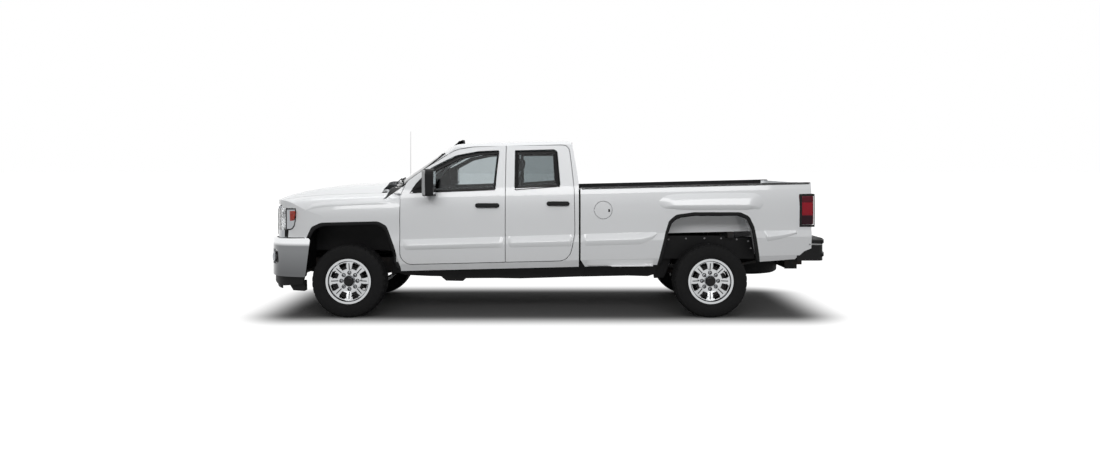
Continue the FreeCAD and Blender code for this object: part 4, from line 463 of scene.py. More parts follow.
def along(points, count):
    """count points evenly spaced along a path."""
    lengths = [0.0]
    for a, b in zip(points, points[1:]):
        lengths.append(lengths[-1] + math.dist(a, b))
    out = []
    for d in span(0.0, lengths[-1], count - 1):
        i = max(j for j in range(len(lengths)) if lengths[j] <= d + 1e-9)
        i = min(i, len(points) - 2)
        t = (d - lengths[i]) / max(1e-9, lengths[i + 1] - lengths[i])
        out.append(tuple(a + (b - a) * t for a, b in zip(points[i], points[i + 1])))
    return out


def matched(a, b, step=0.02):
    """Two outlines with corresponding corners, split into the same number of short pieces."""
    first, second = [], []
    for i in range(len(a)):
        j = (i + 1) % len(a)
        count = max(1, int(max(math.dist(a[i], a[j]), math.dist(b[i], b[j])) / step))
        for k in range(count):
            t = k / count
            first.append(tuple(p + (q - p) * t for p, q in zip(a[i], a[j])))
            second.append(tuple(p + (q - p) * t for p, q in zip(b[i], b[j])))
    return first, second


def dense(points, step):
    """The same closed outline with points no further apart than step."""
    return matched(points, points, step)[0]


def pill(x0, x1, z0, z1):
    """A bar outline with rounded ends."""
    r = (z1 - z0) / 2
    cz = (z0 + z1) / 2
    turns = span(0, math.pi, 7)
    return ([(x1 - r + r * math.sin(a), cz + r * math.cos(a)) for a in turns]
            + [(x0 + r - r * math.sin(a), cz - r * math.cos(a)) for a in turns])


# Making pieces
def placed(item, look, body):
    scene.collection.objects.link(item)
    item.data.materials.append(LOOKS[look][0])
    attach(item, body)
    return item


def make(name, points, faces, look, body="chassis", smooth=True):
    mesh = bpy.data.meshes.new(name)
    mesh.from_pydata([tuple(p) for p in points], [], faces)
    mesh.validate()
    tidy = bmesh.new()
    tidy.from_mesh(mesh)
    bmesh.ops.remove_doubles(tidy, verts=tidy.verts, dist=1e-6)
    bmesh.ops.recalc_face_normals(tidy, faces=tidy.faces)
    tidy.to_mesh(mesh)
    tidy.free()
    for polygon in mesh.polygons:
        polygon.use_smooth = smooth
    return placed(bpy.data.objects.new(name, mesh), look, body)


def net(count, size, cyclic=False, round_too=False, capped=False):
    """Faces between count rows of size points: cyclic joins the last row to the first, round_too
    closes each row on itself, and capped fills the first and last rows."""
    faces = []
    for i in range(count if cyclic else count - 1):
        j = (i + 1) % count
        for k in range(size if round_too else size - 1):
            m = (k + 1) % size
            faces.append((i * size + k, i * size + m, j * size + m, j * size + k))
    if capped:
        faces += [tuple(range(size)), tuple(range((count - 1) * size, count * size))[::-1]]
    return faces


def sheet(name, rows, look, body="chassis", smooth=True, **joins):
    """A piece from rows of points, joined as net says."""
    faces = net(len(rows), len(rows[0]), **joins)
    return make(name, [p for row in rows for p in row], faces, look, body, smooth)


def rounded(item, width, segments):
    """Rounds the sharp edges of a piece."""
    bevel = item.modifiers.new("round", "BEVEL")
    bevel.width = width
    bevel.segments = segments
    bevel.limit_method = "ANGLE"
    bevel.angle_limit = math.radians(35)
    bevel.harden_normals = False


def lathe(name, profile, centre, look, body="chassis", steps=64, axis="Y", smooth=True):
    """Turns (out, along) points about the Y or X axis through centre."""
    rows = []
    for i in range(steps):
        u, v = math.cos(2 * math.pi * i / steps), math.sin(2 * math.pi * i / steps)
        row = [(r * u, t, r * v) if axis == "Y" else (t, r * u, r * v) for r, t in profile]
        rows.append([Vector(p) + Vector(centre) for p in row])
    sheet(name, rows, look, body, smooth, cyclic=True)


def tube(name, path, radius, look, body="chassis"):
    """A round bar along a path."""
    curve = bpy.data.curves.new(name, "CURVE")
    curve.dimensions = "3D"
    spline = curve.splines.new("POLY")
    spline.points.add(len(path) - 1)
    for point, p in zip(spline.points, path):
        point.co = (*p, 1)
    curve.bevel_depth = radius
    curve.bevel_resolution = 3
    curve.use_fill_caps = True
    return placed(bpy.data.objects.new(name, curve), look, body)


def box(name, x, y, z, bevel, look, body="chassis", segments=2):
    """A block between ranges of x, y and z, with rounded edges."""
    points = [(a, b, c) for a in x for b in y for c in z]
    faces = [(0, 1, 3, 2), (4, 6, 7, 5), (0, 4, 5, 1), (2, 3, 7, 6), (0, 2, 6, 4), (1, 5, 7, 3)]
    rounded(make(name, points, faces, look, body, False), bevel, segments)


def slab(name, outline, y0, y1, look, bevel, segments=2):
    """An outline of (x, z) points, thick from y0 to y1, with rounded edges."""
    n = len(outline)
    points = [(x, y, z) for y in (y0, y1) for x, z in outline]
    faces = [tuple(range(n)), tuple(range(2 * n - 1, n - 1, -1))]
    faces += [(i, (i + 1) % n, n + (i + 1) % n, n + i) for i in range(n)]
    item = make(name, points, faces, look, smooth=False)
    rounded(item, bevel, segments)
    return item


def strip(name, path, width, half, find, look, body):
    """A strip along (a, b) points on the surface that find gives; half is its profile's left half,
    as (share of width, height) points."""
    profile = half + [(-u, h) for u, h in reversed(half)]
    rows = []
    for i, (a, b) in enumerate(path):
        before, after = path[max(0, i - 1)], path[min(len(path) - 1, i + 1)]
        run = Vector((after[0] - before[0], after[1] - before[1])).normalized()
        spots = [find(a - run.y * u * width, b + run.x * u * width) for u, _ in profile]
        if all(hit is not None for hit, _ in spots):
            rows.append([hit + normal * h for (hit, normal), (_, h) in zip(spots, profile)])
    sheet(name, rows, look, body, capped=True)


def ribbon(name, path, width, proud, look, body, side, sink=0.004, tree=None):
    """A rounded strip laid on the body side along (x, z) points."""
    half = [(-0.5, -sink), (-0.47, proud * 0.6), (-0.3, proud)]
    strip(name, path, width, half, lambda x, z: skin(x, z, side, tree), look, body)


def strip_on(name, path, width, proud, shoot, look, body="chassis"):
    """A rounded strip along (a, b) points on the surface that shoot finds."""
    strip(name, path, width, [(-0.5, -0.004), (-0.48, proud * 0.55), (-0.36, proud)], shoot, look, body)


def pad(name, outline, proud, rim, look, body, side, sink=0.004, tree=None, rings=3):
    """A domed pad with a rounded rim whose outline of (x, z) points lies on the body side."""
    n = len(outline)
    cx, cz = sum(p[0] for p in outline) / n, sum(p[1] for p in outline) / n
    levels = [(0, 0, -sink), (0, 0, proud * 0.45), (rim * 0.35, 0, proud * 0.85), (rim, 0, proud)]
    levels += [(rim, k / rings, proud) for k in range(1, rings)]
    points = []
    for inset, inward, h in levels:
        for x, z in outline:
            share = min(0.9, inset / math.hypot(cx - x, cz - z))
            share += (1 - share) * inward
            hit, normal = skin(x + (cx - x) * share, z + (cz - z) * share, side, tree)
            points.append(hit + normal * h)
    faces = net(len(levels), n, round_too=True)
    hit, normal = skin(cx, cz, side, tree)
    points.append(hit + normal * proud)
    last = (len(levels) - 1) * n
    faces += [(last + i, last + (i + 1) % n, len(points) - 1) for i in range(n)]
    make(name, points, faces, look, body)


def ring(name, outer, inner, proud, look, body, side, tree):
    """A flat band between two matching outlines, lying on the surface that tree holds."""
    first, second = matched(outer, inner)
    n = len(first)
    cx, cz = sum(p[0] for p in second) / n, sum(p[1] for p in second) / n

    def near(x, z):
        for k in range(30):
            spot, normal = skin(x + (cx - x) * k * 0.01, z + (cz - z) * k * 0.01, side, tree)
            if abs(spot.y) != NO_SURFACE:
                return Vector((x, spot.y, z)), normal
        return spot, normal

    rows = []
    for a, b in zip(first, second):
        (ha, na), (hb, nb) = near(*a), near(*b)
        rows.append([ha - na * 0.003, ha + na * proud, (ha + hb) / 2 + na * proud, hb + nb * proud,
                     hb - nb * 0.003])
    sheet(name, rows, look, body, cyclic=True)


def wedge(name, top, bottom, count, proud, body, side, steps, tuck, taper):
    """A fold in the panel: flush along the top path, proud along the bottom one, then tucked back under."""
    rows = []
    for i, ((x0, z0), (x1, z1)) in enumerate(zip(along(top, count), along(bottom, count))):
        lift = proud * min(1.0, min(i, count - 1 - i) / max(1, count * taper)) ** 0.7
        levels = [(t, lift * t ** 0.85 - 0.0008 * (1 - t)) for t in span(0, 1, steps)] + [(1 + tuck, -0.001)]
        row = []
        for t, h in levels:
            hit, normal = skin(x0 + (x1 - x0) * t, z0 + (z1 - z0) * t, side)
            row.append(hit + normal * h)
        rows.append(row)
    sheet(name, rows, "paint", body)


def patch_on(name, a_range, b_range, na, nb, proud, shoot, look, body="chassis", sink=0.003):
    """A sheet laid on the surface that shoot finds, with its border turned down into it."""
    spots = {}
    for i, a in enumerate(span(*a_range, na)):
        for j, b in enumerate(span(*b_range, nb)):
            hit, normal = shoot(a, b)
            if hit is not None:
                spots[i, j] = (hit, normal)
    points, index, faces, edges = [], {}, [], {}

    def corner(key, low=False):
        if (key, low) not in index:
            hit, normal = spots[key]
            index[key, low] = len(points)
            points.append(hit + normal * (-sink if low else proud))
        return index[key, low]
    for i in range(na):
        for j in range(nb):
            quad = [(i, j), (i + 1, j), (i + 1, j + 1), (i, j + 1)]
            if not all(key in spots for key in quad):
                continue
            faces.append(tuple(corner(key) for key in quad))
            for k in range(4):
                pair = (quad[k], quad[(k + 1) % 4])
                if pair[::-1] in edges:
                    edges.pop(pair[::-1])
                else:
                    edges[pair] = True
    for first, second in edges:
        faces.append((corner(second), corner(first), corner(first, True), corner(second, True)))
    make(name, points, faces, look, body)


# Tyres: sidewall with rings, tread of blocks between grooves
TYRE_STEPS = 288
SIDEWALL = [(0.2345, 0.098), (0.2505, 0.1085), (0.262, 0.119), (0.268, 0.1205), (0.2705, 0.1235),
            (0.2765, 0.124), (0.2785, 0.1265), (0.3, 0.1305), (0.33, 0.1322), (0.3325, 0.1312),
            (0.336, 0.1312), (0.3385, 0.132), (0.352, 0.1312), (0.3545, 0.1296), (0.358, 0.1296),
            (0.3605, 0.1305), (0.372, 0.1278), (0.381, 0.1245), (0.389, 0.119)]
HALF_TREAD = [0.006, 0.0085, 0.0265, 0.029, 0.047, 0.0495, 0.0685, 0.071, 0.088, 0.0905, 0.109]


def tread_radius(i, k, t):
    """The radius at step i round the tyre and edge k across it, t from the middle."""
    crown = 0.4098 - 0.0068 * (abs(t) / 0.1) ** 2.4
    if k % 4 in (3, 0) and abs(t) < 0.08:
        return crown - 0.009
    turn = i + (k // 2) % 3 * 2 + (3 if t > 0 else 0)
    cut = turn % 8 < 2 if abs(t) > 0.06 else turn % 9 == 0
    return crown - 0.0085 if cut else crown


def tyre_mesh(name, centre, body):
    across = [-t for t in reversed(HALF_TREAD)] + HALF_TREAD
    rows = []
    for i in range(TYRE_STEPS):
        a = 2 * math.pi * i / TYRE_STEPS
        profile = [(r, -t) for r, t in SIDEWALL] + [(tread_radius(i, k, t), t) for k, t in enumerate(across)]
        row = []
        for r, t in profile + SIDEWALL[::-1]:
            if 0.375 < r < 0.395 and i % 8 < 5:
                t *= 1.022
            row.append(Vector((r * math.cos(a), t, r * math.sin(a))) + centre)
        rows.append(row)
    return sheet(name, rows, "rubber", body, smooth=False, cyclic=True)


# Wheels: lug nuts and hub caps, and black pieces of painted shade: a barrel lining, pockets round the nuts,
# lines down the spoke grooves and the window floors
LUG_NUT = [(0.0, 0.036), (0.006, 0.0355), (0.0095, 0.031), (0.0105, 0.024), (0.0108, 0.004),
           (0.0145, 0.003), (0.0145, -0.001)]
HUB_CAP = [(0.0, 0.048), (0.03, 0.0475), (0.048, 0.044), (0.0535, 0.037), (0.0545, 0.02), (0.0545, -0.004)]
HUB_RING = [(0.055, -0.002), (0.055, 0.021), (0.0575, 0.024), (0.062, 0.022), (0.064, -0.002)]
BARREL = [(0.2005, 0.052), (0.2032, 0.052), (0.2032, -0.04), (0.2005, -0.04), (0.2005, 0.052)]
WINDOW = ((0.1345, -0.0285), (0.1345, 0.0285), (0.1725, 0.0345), (0.1725, -0.0345))
SPOKES = 8
NUT_CIRCLE = 0.09        # radius
HUB_FACE = 0.0616        # out from the wheel's middle
VALVE = (0.196, 0.39, 0.098)        # radius, angle and y


def outward(profile, side):
    return [(r, side * t) for r, t in profile]


def on_wheel(centre, a, r, across=0.0):
    """The (x, z) place on a wheel at radius r, and across from it, at angle a from straight up."""
    return (centre.x + r * math.sin(a) + across * math.cos(a),
            centre.z + r * math.cos(a) - across * math.sin(a))


WHEELS = []
for end in ENDS:
    for side_name, side in SIDES:
        low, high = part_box(f"tyre_{end}_{side_name}")
        WHEELS.append((end, side_name, side, (Vector(low) + Vector(high)) / 2))
for end, side_name, side, centre in WHEELS:
    place = f"{end}_{side_name}"
    body = f"wheel_{place}"
    tyre = tyre_mesh(f"tyre_tread_{place}", centre, body)
    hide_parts(f"tyre_{end}_{side_name}")
    face = centre.y + side * HUB_FACE
    hub = (centre.x, face, centre.z)
    lathe(f"hub_cap_{place}", outward(HUB_CAP, side), hub, "gloss_black", body)
    lathe(f"hub_ring_{place}", outward(HUB_RING, side), hub, "nut_chrome", body)
    # A black lining inside the barrel: painted shade in the wheel's hollow
    lathe(f"barrel_painted_shade_{place}", outward(BARREL, side), centre, "black", body, 72)
    radius, turn, out = VALVE
    x, z = on_wheel(centre, turn, radius)
    valve = Vector((x, centre.y + side * out, z))
    tube(f"valve_{place}", [valve, valve + Vector((0, side * 0.022, 0))], 0.004, "seal", body)
    rim_tree = tree_of([f"rim_{place}"])
    for i in range(SPOKES):
        a = 2 * math.pi * i / SPOKES
        x, z = on_wheel(centre, a, NUT_CIRCLE)
        lathe(f"lug_nut_{place}_{i}", outward(LUG_NUT, side), (x, face, z), "nut_chrome", body, 12,
              smooth=False)
        # Gloss black pads round each nut: painted shade in the pockets
        outline = [(x + 0.0235 * math.sin(t * math.pi / 10), z + 0.0235 * math.cos(t * math.pi / 10))
                   for t in range(20)]
        pad(f"lug_seat_{place}_{i}", outline, 0.0015, 0.002, "gloss_black", body, side, 0.001, rim_tree, 2)
        # A gloss black strip down each spoke: painted shade in its groove
        path = [on_wheel(centre, a, r) for r in (0.122, 0.14, 0.16, 0.18, 0.198)]
        ribbon(f"spoke_groove_{place}_{i}", path, 0.011, 0.0012, "gloss_black", body, side, 0.002, rim_tree)
        # Gloss black pads in the window openings: painted shade on their floors
        outline = [on_wheel(centre, a + math.pi / SPOKES, r, across) for r, across in WINDOW]
        pad(f"window_floor_{place}_{i}", dense(outline, 0.012), 0.0012, 0.002, "gloss_black", body, side,
            0.001, rim_tree, 2)

# Wheel arches: a black lip along each opening's edge
ARCH_LIP = ((0.003, -0.004), (-0.004, -0.001), (-0.0225, -0.004), (-0.045, -0.012), (-0.045, -0.02),
            (0.003, -0.02))


def arch_lip(name, centre, side, below):
    """A lip round a wheel opening, ending below degrees under the hub's height on both sides."""
    rows = []
    for degrees in span(-below, 180 + below, 46):
        u, v = math.cos(math.radians(degrees)), math.sin(math.radians(degrees))
        for r in (0.41 + 0.0025 * k for k in range(220)):
            if on_body(centre.x + r * u, centre.z + r * v, side):
                y = skin(centre.x + r * u, centre.z + r * v, side)[0].y
                rows.append([(centre.x + (r + dr) * u, y + side * dy, centre.z + (r + dr) * v)
                             for dr, dy in ARCH_LIP])
                break
    sheet(name, rows, "black", round_too=True, capped=True)


for end, side_name, side, centre in WHEELS:
    arch_lip(f"arch_lip_{end}_{side_name}", centre, side, 14 if end == "front" else 8)

# Doors: black bands round the glass, handles, mirrors, and the cards inside with arm rests and handles
GLASS = {
    "front": (
        [(410.2, 193.4), (416.2, 183.9), (432, 168.4), (455.9, 156.2), (478.8, 152), (498.8, 151.4),
         (495.3, 190.2)],
        [(421, 189.4), (425.5, 182.5), (438.5, 170.6), (459.5, 159.6), (479.8, 155.3), (496.4, 154.6),
         (493.4, 187)]),
    "rear": ([(515.0, 151.2), (557.0, 150.8), (560.0, 186.8), (515.0, 190.2)],
             [(518.6, 154.6), (553.4, 154.2), (555.2, 183.6), (518.6, 186.2)]),
}
HANDLES = {"front": ((475.1, 207.8), (499.4, 203.3)), "rear": ((546.6, 206.0), (569.6, 201.5))}
CARDS = {"front": (-1.44, -0.52, 0.74, 1.33), "rear": (-0.3, 0.2, 0.76, 1.36)}
for end in ENDS:
    for side_name, side in SIDES:
        body = f"door_{end}_{side_name}"
        glass_tree = tree_of([f"window_{end}_{side_name}", body])
        outer, inner = (at_plane(points, -0.93) for points in GLASS[end])
        ring(f"window_band_{end}_{side_name}", outer, inner, 0.003, "gloss_black", body, side, glass_tree)
        (x0, z0), (x1, z1) = at_plane(HANDLES[end])
        pad(f"handle_{end}_{side_name}", pill(x0, x1, z0, z1), 0.03, 0.02, "black", body, side)
        inside = shooter([body], "y", side * 0.3, side)
        x0, x1, z0, z1 = CARDS[end]
        patch_on(f"door_card_{end}_{side_name}", (x0, x1), (z0, z1), 18, 12, 0.003, inside, "cabin", body)
        rest_z = z0 + (z1 - z0) * 0.68
        strip_on(f"arm_rest_{end}_{side_name}", straight(x0 + 0.15, x1 - 0.08, 14, rest_z), 0.05, 0.03,
                 inside, "cabin", body)
        strip_on(f"inner_handle_{end}_{side_name}", straight(x0 + 0.1, x0 + 0.22, 6, rest_z + 0.08), 0.03,
                 0.012, inside, "chrome", body)
for side_name, side in SIDES:
    body = f"door_front_{side_name}"
    box(f"mirror_cap_{side_name}", (-1.309, -1.272), out_from(side, 1.068, 1.2835), (1.375, 1.645), 0.015,
        "mirror_grey", body, 4)
    for name, z_range in (("mirror_glass", (1.475, 1.632)), ("mirror_glass_low", (1.385, 1.46))):
        box(f"{name}_{side_name}", (-1.189, -1.186), out_from(side, 1.08, 1.25), z_range, 0.001, "chrome",
            body)

# Pressed shapes in the panels: the rear flare, the front fender's crease, the ledge low on the side and
# the fold along the bed's edge, as (body, points, height, steps, tuck, taper, top path, bottom path)
FOLDS = {
    "rear_flare": (
        "chassis", 60, 0.034, 8, 0.3, 0.12,
        [(657.5, 204.5), (659.5, 200.4), (662.5, 197.6), (667.1, 195.4), (674, 194.1), (685, 193.4),
         (705, 193), (730, 192.8), (748, 192.7), (756.4, 193), (760.5, 195.6), (763.5, 200.5),
         (764.6, 204.5)],
        [(663.5, 208.2), (665.4, 207.4), (667.6, 206.9), (671, 206.5), (677, 206.4), (686, 206.4),
         (705, 206.3), (730, 206.2), (745, 206.2), (752, 206.3), (755.5, 206.8), (758, 207.6),
         (760.5, 208.6)]),
    "fender_crease": (
        "chassis", 48, 0.008, 6, 0.5, 0.12,
        [(304.5, 209.4), (308, 206.2), (312.1, 203.6), (325, 201.7), (342.7, 200.7), (366, 199.6),
         (389.5, 198.8)],
        [(303.4, 212.6), (307.4, 209.6), (312.6, 207.2), (325, 205.4), (342.7, 204.4), (366, 203.3),
         (390, 202.6)]),
    "ledge_door_front": (
        "door_front", 40, 0.022, 6, 0.6, 0.05, [(402.8, 239.7), (503, 236.5)], [(403, 246.4), (503, 243.6)]),
    "ledge_door_rear": (
        "door_rear", 40, 0.022, 6, 0.6, 0.05, [(508, 236.3), (572.6, 234.2)], [(508, 243.5), (572.6, 241.9)]),
    "ledge_bed_side": (
        "chassis", 40, 0.022, 6, 0.6, 0.05, [(583.2, 233.9), (640, 232.2), (652, 232), (657.5, 232.6)],
        [(583.2, 241.6), (640, 240), (652.5, 236.4), (657.6, 233.4)]),
    "ledge_bed_tail": (
        "chassis", 40, 0.022, 6, 0.6, 0.05, [(763.8, 230.6), (780, 230.6), (797, 230.4)],
        [(765.5, 237.6), (780, 236), (797, 232.6)]),
    "bed_fold": (
        "chassis", 30, 0.014, 5, 0.1, 0.05, [(587, 260.4), (620, 260), (655, 259.6)],
        [(587.4, 266.2), (620, 266), (653, 265.8)]),
}
for side_name, side in SIDES:
    for name, (body, count, proud, steps, tuck, taper, top, bottom) in FOLDS.items():
        if body != "chassis":
            body = f"{body}_{side_name}"
        wedge(f"{name}_{side_name}", at_plane(top), at_plane(bottom), count, proud, body, side, steps, tuck,
              taper)

# Black shields under the body, as (plane, inner |y|, outer |y|, outline), and the roof's fin
SHIELDS = {
    "sill_shield": (-0.72, 0.64, 0.72, [
        (396, 264), (396, 272), (405, 275), (430, 276.2), (441, 276.4), (446, 280.8), (463, 281.2),
        (466, 278.4), (497, 278.2), (520, 278.6), (548, 277.8), (584, 276.6), (584, 262)]),
    "bed_shield": (-0.72, 0.6, 0.7, [
        (582, 262), (582, 277), (600, 276.6), (628, 276), (648, 276.6), (656, 274), (658, 262)]),
    "air_dam_lip": (-0.9, 0.8, 0.9, [(289, 281), (304.6, 281), (304.8, 291.2), (293.2, 290.4), (289.4, 284)]),
    "splash_front": (-0.72, 0.6, 0.62, [(390, 258), (398, 258), (398, 273.4), (391, 276.2), (390, 275.9)]),
    "splash_rear": (-0.72, 0.6, 0.62, [(652, 258), (673, 258), (669, 270), (665, 279), (655, 279.4)]),
}
for side_name, side in SIDES:
    for name, (plane, inner, outer, outline) in SHIELDS.items():
        slab(f"{name}_{side_name}", at_plane(outline, plane), side * inner, side * outer, "black", 0.004)
FIN = [(451.0, 149.4), (455.8, 144.2), (462.2, 140.1), (464.8, 140.2), (465.3, 144.4), (468.4, 147.4),
       (468.4, 149.8)]
slab("roof_fin", at_plane(FIN, 0.0), -0.016, 0.016, "black", 0.008)

# Windscreen edges, wipers and roof lamp
screen_face = shooter(["windscreen"], "x", -6, 1)
for side_name, side in SIDES:
    path = []
    for z in span(1.45, 1.825, 14):
        for k in range(90):
            hit, normal = screen_face(side * (0.94 - 0.005 * k), z)
            if hit is not None:
                path.append(hit + normal * 0.004)
                break
    tube(f"windscreen_seal_{side_name}", smooth_path(path, 3), 0.016, "seal")
for k, (y0, y1) in enumerate(((-0.72, -0.12), (-0.02, 0.56))):
    spots = [screen_face(y0 + (y1 - y0) * t, 1.5 + 0.03 * t) for t in span(0, 1, 10)]
    path = [hit + normal * 0.016 for hit, normal in spots if hit is not None]
    tube(f"wiper_blade_{k}", path, 0.009, "black")
    foot, normal = screen_face(y1 - 0.02, 1.465)
    middle = path[len(path) // 2] + normal * 0.012
    tube(f"wiper_arm_{k}", [foot + normal * 0.01, foot + normal * 0.028, middle], 0.007, "black")
for name, y, z_range, count in (("low", 0.84, (1.45, 1.49), 40), ("high", 0.66, (1.8, 1.83), 30)):
    patch_on(f"screen_frit_{name}", (-y, y), z_range, count, 2, 0.0012, screen_face, "gloss_black", sink=0.0)
box("roof_lamp", (0.312, 0.334), (-0.2, 0.2), (1.946, 1.968), 0.005, "red")

# Lamps at the corners, whose outlines were read off the photograph
LAMP_PLANE, TAIL_PLANE = -0.95, -0.99
MARKER = [(289.6, 211.2), (296.4, 210.8), (296.6, 213.8), (295.8, 217.6), (294.2, 220.6), (289.9, 221.0)]
BEZEL = ([(284.6, 208.6), (296.4, 208.2), (296.9, 212), (296.5, 220), (295.2, 226.0), (292.8, 229.2),
          (290, 230.2), (284.8, 230.4)],
         [(285.8, 209.8), (295.4, 209.4), (295.9, 212.6), (295.5, 219.6), (294.3, 225.2), (292.2, 228.2),
          (289.6, 229.1), (285.9, 229.2)])
TAIL_FRAME = rectangle(799.2, 814.3, 194.0, 226.9), rectangle(801.7, 813.4, 196.0, 224.8)
# The middle cell is lighter as a painted highlight, and the bottom one darker as painted shade
TAIL_CELLS = ((196.4, 202.2, "red"), (202.6, 215.2, "red_painted_highlight"), (215.8, 224.6, "red_painted_shade"))
lamp_tree = tree_of(["headlights"])
corner_tree = tree_of(["headlights", "front_fenders"])
tail_tree = tree_of(["tail_lights"])
for side_name, side in SIDES:
    pad(f"side_marker_{side_name}", at_plane(MARKER, LAMP_PLANE), 0.0045, 0.003, "amber", "chassis", side,
        0.002, lamp_tree, 2)
    outer, inner = (at_plane(points, LAMP_PLANE) for points in BEZEL)
    pad(f"lamp_bezel_{side_name}", dense(inner, 0.02), 0.0012, 0.002, "chrome", "chassis", side, 0.002,
        corner_tree)
    ring(f"lamp_outline_{side_name}", outer, inner, 0.0025, "gloss_black", "chassis", side, corner_tree)
    outer, inner = (at_plane(points, TAIL_PLANE) for points in TAIL_FRAME)
    ring(f"tail_frame_{side_name}", outer, inner, 0.0015, "gloss_black", "chassis", side, tail_tree)
    for k, (top, bottom, look) in enumerate(TAIL_CELLS):
        outline = at_plane(rectangle(801.8, 812.2, top, bottom), TAIL_PLANE)
        pad(f"tail_cell_{side_name}_{k}", dense(outline, 0.02), 0.0022, 0.008, look, "chassis", side, 0.001,
            tail_tree, 2)
# A gloss black pad in the fuel door's notch: painted shade in the recess
notch = at_plane(rectangle(608.2, 610.0, 209.2, 212.0))
pad("fuel_door_notch_painted_shade", notch, 0.002, 0.003, "gloss_black", "fuel_door", -1, 0.002, rings=2)

# The nose: grille, bumper openings, fog lamps, lamp reflectors and tow hooks
FOG_LAMP = [(0.0, -0.03), (0.025, -0.028), (0.04, -0.02), (0.045, -0.008), (0.048, 0.0)]
FOG_RIM = [(0.045, 0.0), (0.046, -0.022), (0.05, -0.025), (0.054, -0.02), (0.055, 0.0)]
REFLECTOR = [(0.0, -0.004), (0.5, -0.003), (0.8, -0.004), (1.0, -0.007), (1.06, -0.004), (1.08, 0.004)]
TOW_HOOK = [(-3.05, 0.52), (-3.12, 0.53), (-3.145, 0.515), (-3.12, 0.495), (-3.06, 0.49)]
grille_face = shooter(["grille"], "x", -6, 1)
bumper_face = shooter(["front_bumper"], "x", -6, 1)
lamp_face = shooter(["headlights"], "x", -6, 1)
dam_face = shooter(["air_dam"], "x", -6, 1)
patch_on("grille_mesh", (-0.64, 0.64), (0.9, 1.2), 44, 14, 0.002, grille_face, "mesh")
for k, z in enumerate((0.938, 1.05, 1.162)):
    strip_on(f"grille_bar_{k}", straight(-0.63, 0.63, 44, z), 0.042, 0.006, grille_face, "chrome")
for k, y in enumerate(span(-0.56, 0.56, 8)):
    path = [(y, z) for z in span(0.905, 1.195, 12)]
    strip_on(f"grille_slat_{k}", path, 0.014, 0.013, grille_face, "black")
box("bumper_mesh", (-3.1, -3.075), (-0.56, 0.56), (0.545, 0.755), 0.004, "mesh")
for side_name, side in SIDES:
    patch_on(f"fog_recess_{side_name}", out_from(side, 0.665, 0.885), (0.602, 0.73), 12, 8, 0.002,
             bumper_face, "black")
    spot, _ = bumper_face(side * 0.76, 0.665)
    lathe(f"fog_lamp_{side_name}", FOG_LAMP, spot, "lamp", steps=32, axis="X")
    lathe(f"fog_rim_{side_name}", FOG_RIM, spot, "chrome", steps=32, axis="X")
    for k, (y, z, radius) in enumerate(((0.74, 1.14, 0.045), (0.84, 1.14, 0.04), (0.76, 1.03, 0.036))):
        spot, _ = lamp_face(side * y, z)
        profile = [(radius * r, t) for r, t in REFLECTOR]
        lathe(f"lamp_reflector_{side_name}_{k}", profile, spot + Vector((0.04, 0, 0)), "chrome", steps=32,
              axis="X")
    path = smooth_path([(x, side * 0.44, z) for x, z in TOW_HOOK], 6)
    tube(f"tow_hook_{side_name}", path, 0.011, "dark_steel")
    box(f"lamp_filler_{side_name}", (-2.9, -2.83), out_from(side, 0.67, 0.9), (0.895, 0.985), 0.006,
        "black")

# Panels that close the gaps over the grille and before the windscreen, and the lip under the air dam
PANEL_LOW = 1.205
hood_under = shooter(["hood"], "z", 0.9, 1)
rows = []
for y in span(-0.66, 0.66, 44):
    hit, _ = grille_face(y, 1.21)
    front = hit.x if hit is not None else -3.0
    top = 1.268
    for x in span(front + 0.02, front + 0.1, 4):
        under, _ = hood_under(x, y)
        if under is not None:
            top = min(top, under.z - 0.014)
    rows.append([(front + 0.012, y, PANEL_LOW), (front + 0.014, y, (top + PANEL_LOW) / 2),
                 (front + 0.03, y, top), (front + 0.12, y, top), (front + 0.12, y, 1.2)])
sheet("grille_top_panel", rows, "black")
rows = []
for y in span(-0.86, 0.86, 40):
    hit, _ = dam_face(y, 0.42)
    if hit is not None:
        rows.append([(hit.x + dx, y, z) for dx, z in ((0.004, 0.42), (0.03, 0.325), (0.038, 0.318),
                                                      (0.046, 0.325), (0.03, 0.42))])
sheet("air_dam_lip_middle", rows, "black", round_too=True, capped=True)
cowl_top = shooter(["cab_floor", "cab_sides"], "z", 1.46, -1)


def cowl_spot(x, y):
    hit, normal = cowl_top(x, y)
    return (hit, normal) if hit is not None and hit.z > 1.3 else (None, None)


patch_on("cowl_panel", (-1.765, -1.6), (-0.9, 0.9), 22, 150, 0.002, cowl_spot, "black")

# The tail: tailgate handle and creases, the upper one drawn as a black line of painted shade, plate recess,
# bumper lips, step pads and side strips
gate_face = shooter(["tailgate"], "x", 6, -1)
step_face = shooter(["rear_bumper"], "x", 6, -1)
step_top = shooter(["rear_bumper"], "z", 3, -1)
bumper_side = tree_of(["rear_bumper"])
patch_on("gate_handle_recess", (-0.15, 0.15), (1.3, 1.39), 10, 6, 0.0025, gate_face, "gloss_black",
         "tailgate")
strip_on("gate_handle", straight(-0.12, 0.12, 12, 1.362), 0.034, 0.016, gate_face, "black", "tailgate")
strip_on("gate_crease_low", straight(-0.76, 0.76, 20, 1.02), 0.05, 0.008, gate_face, "paint", "tailgate")
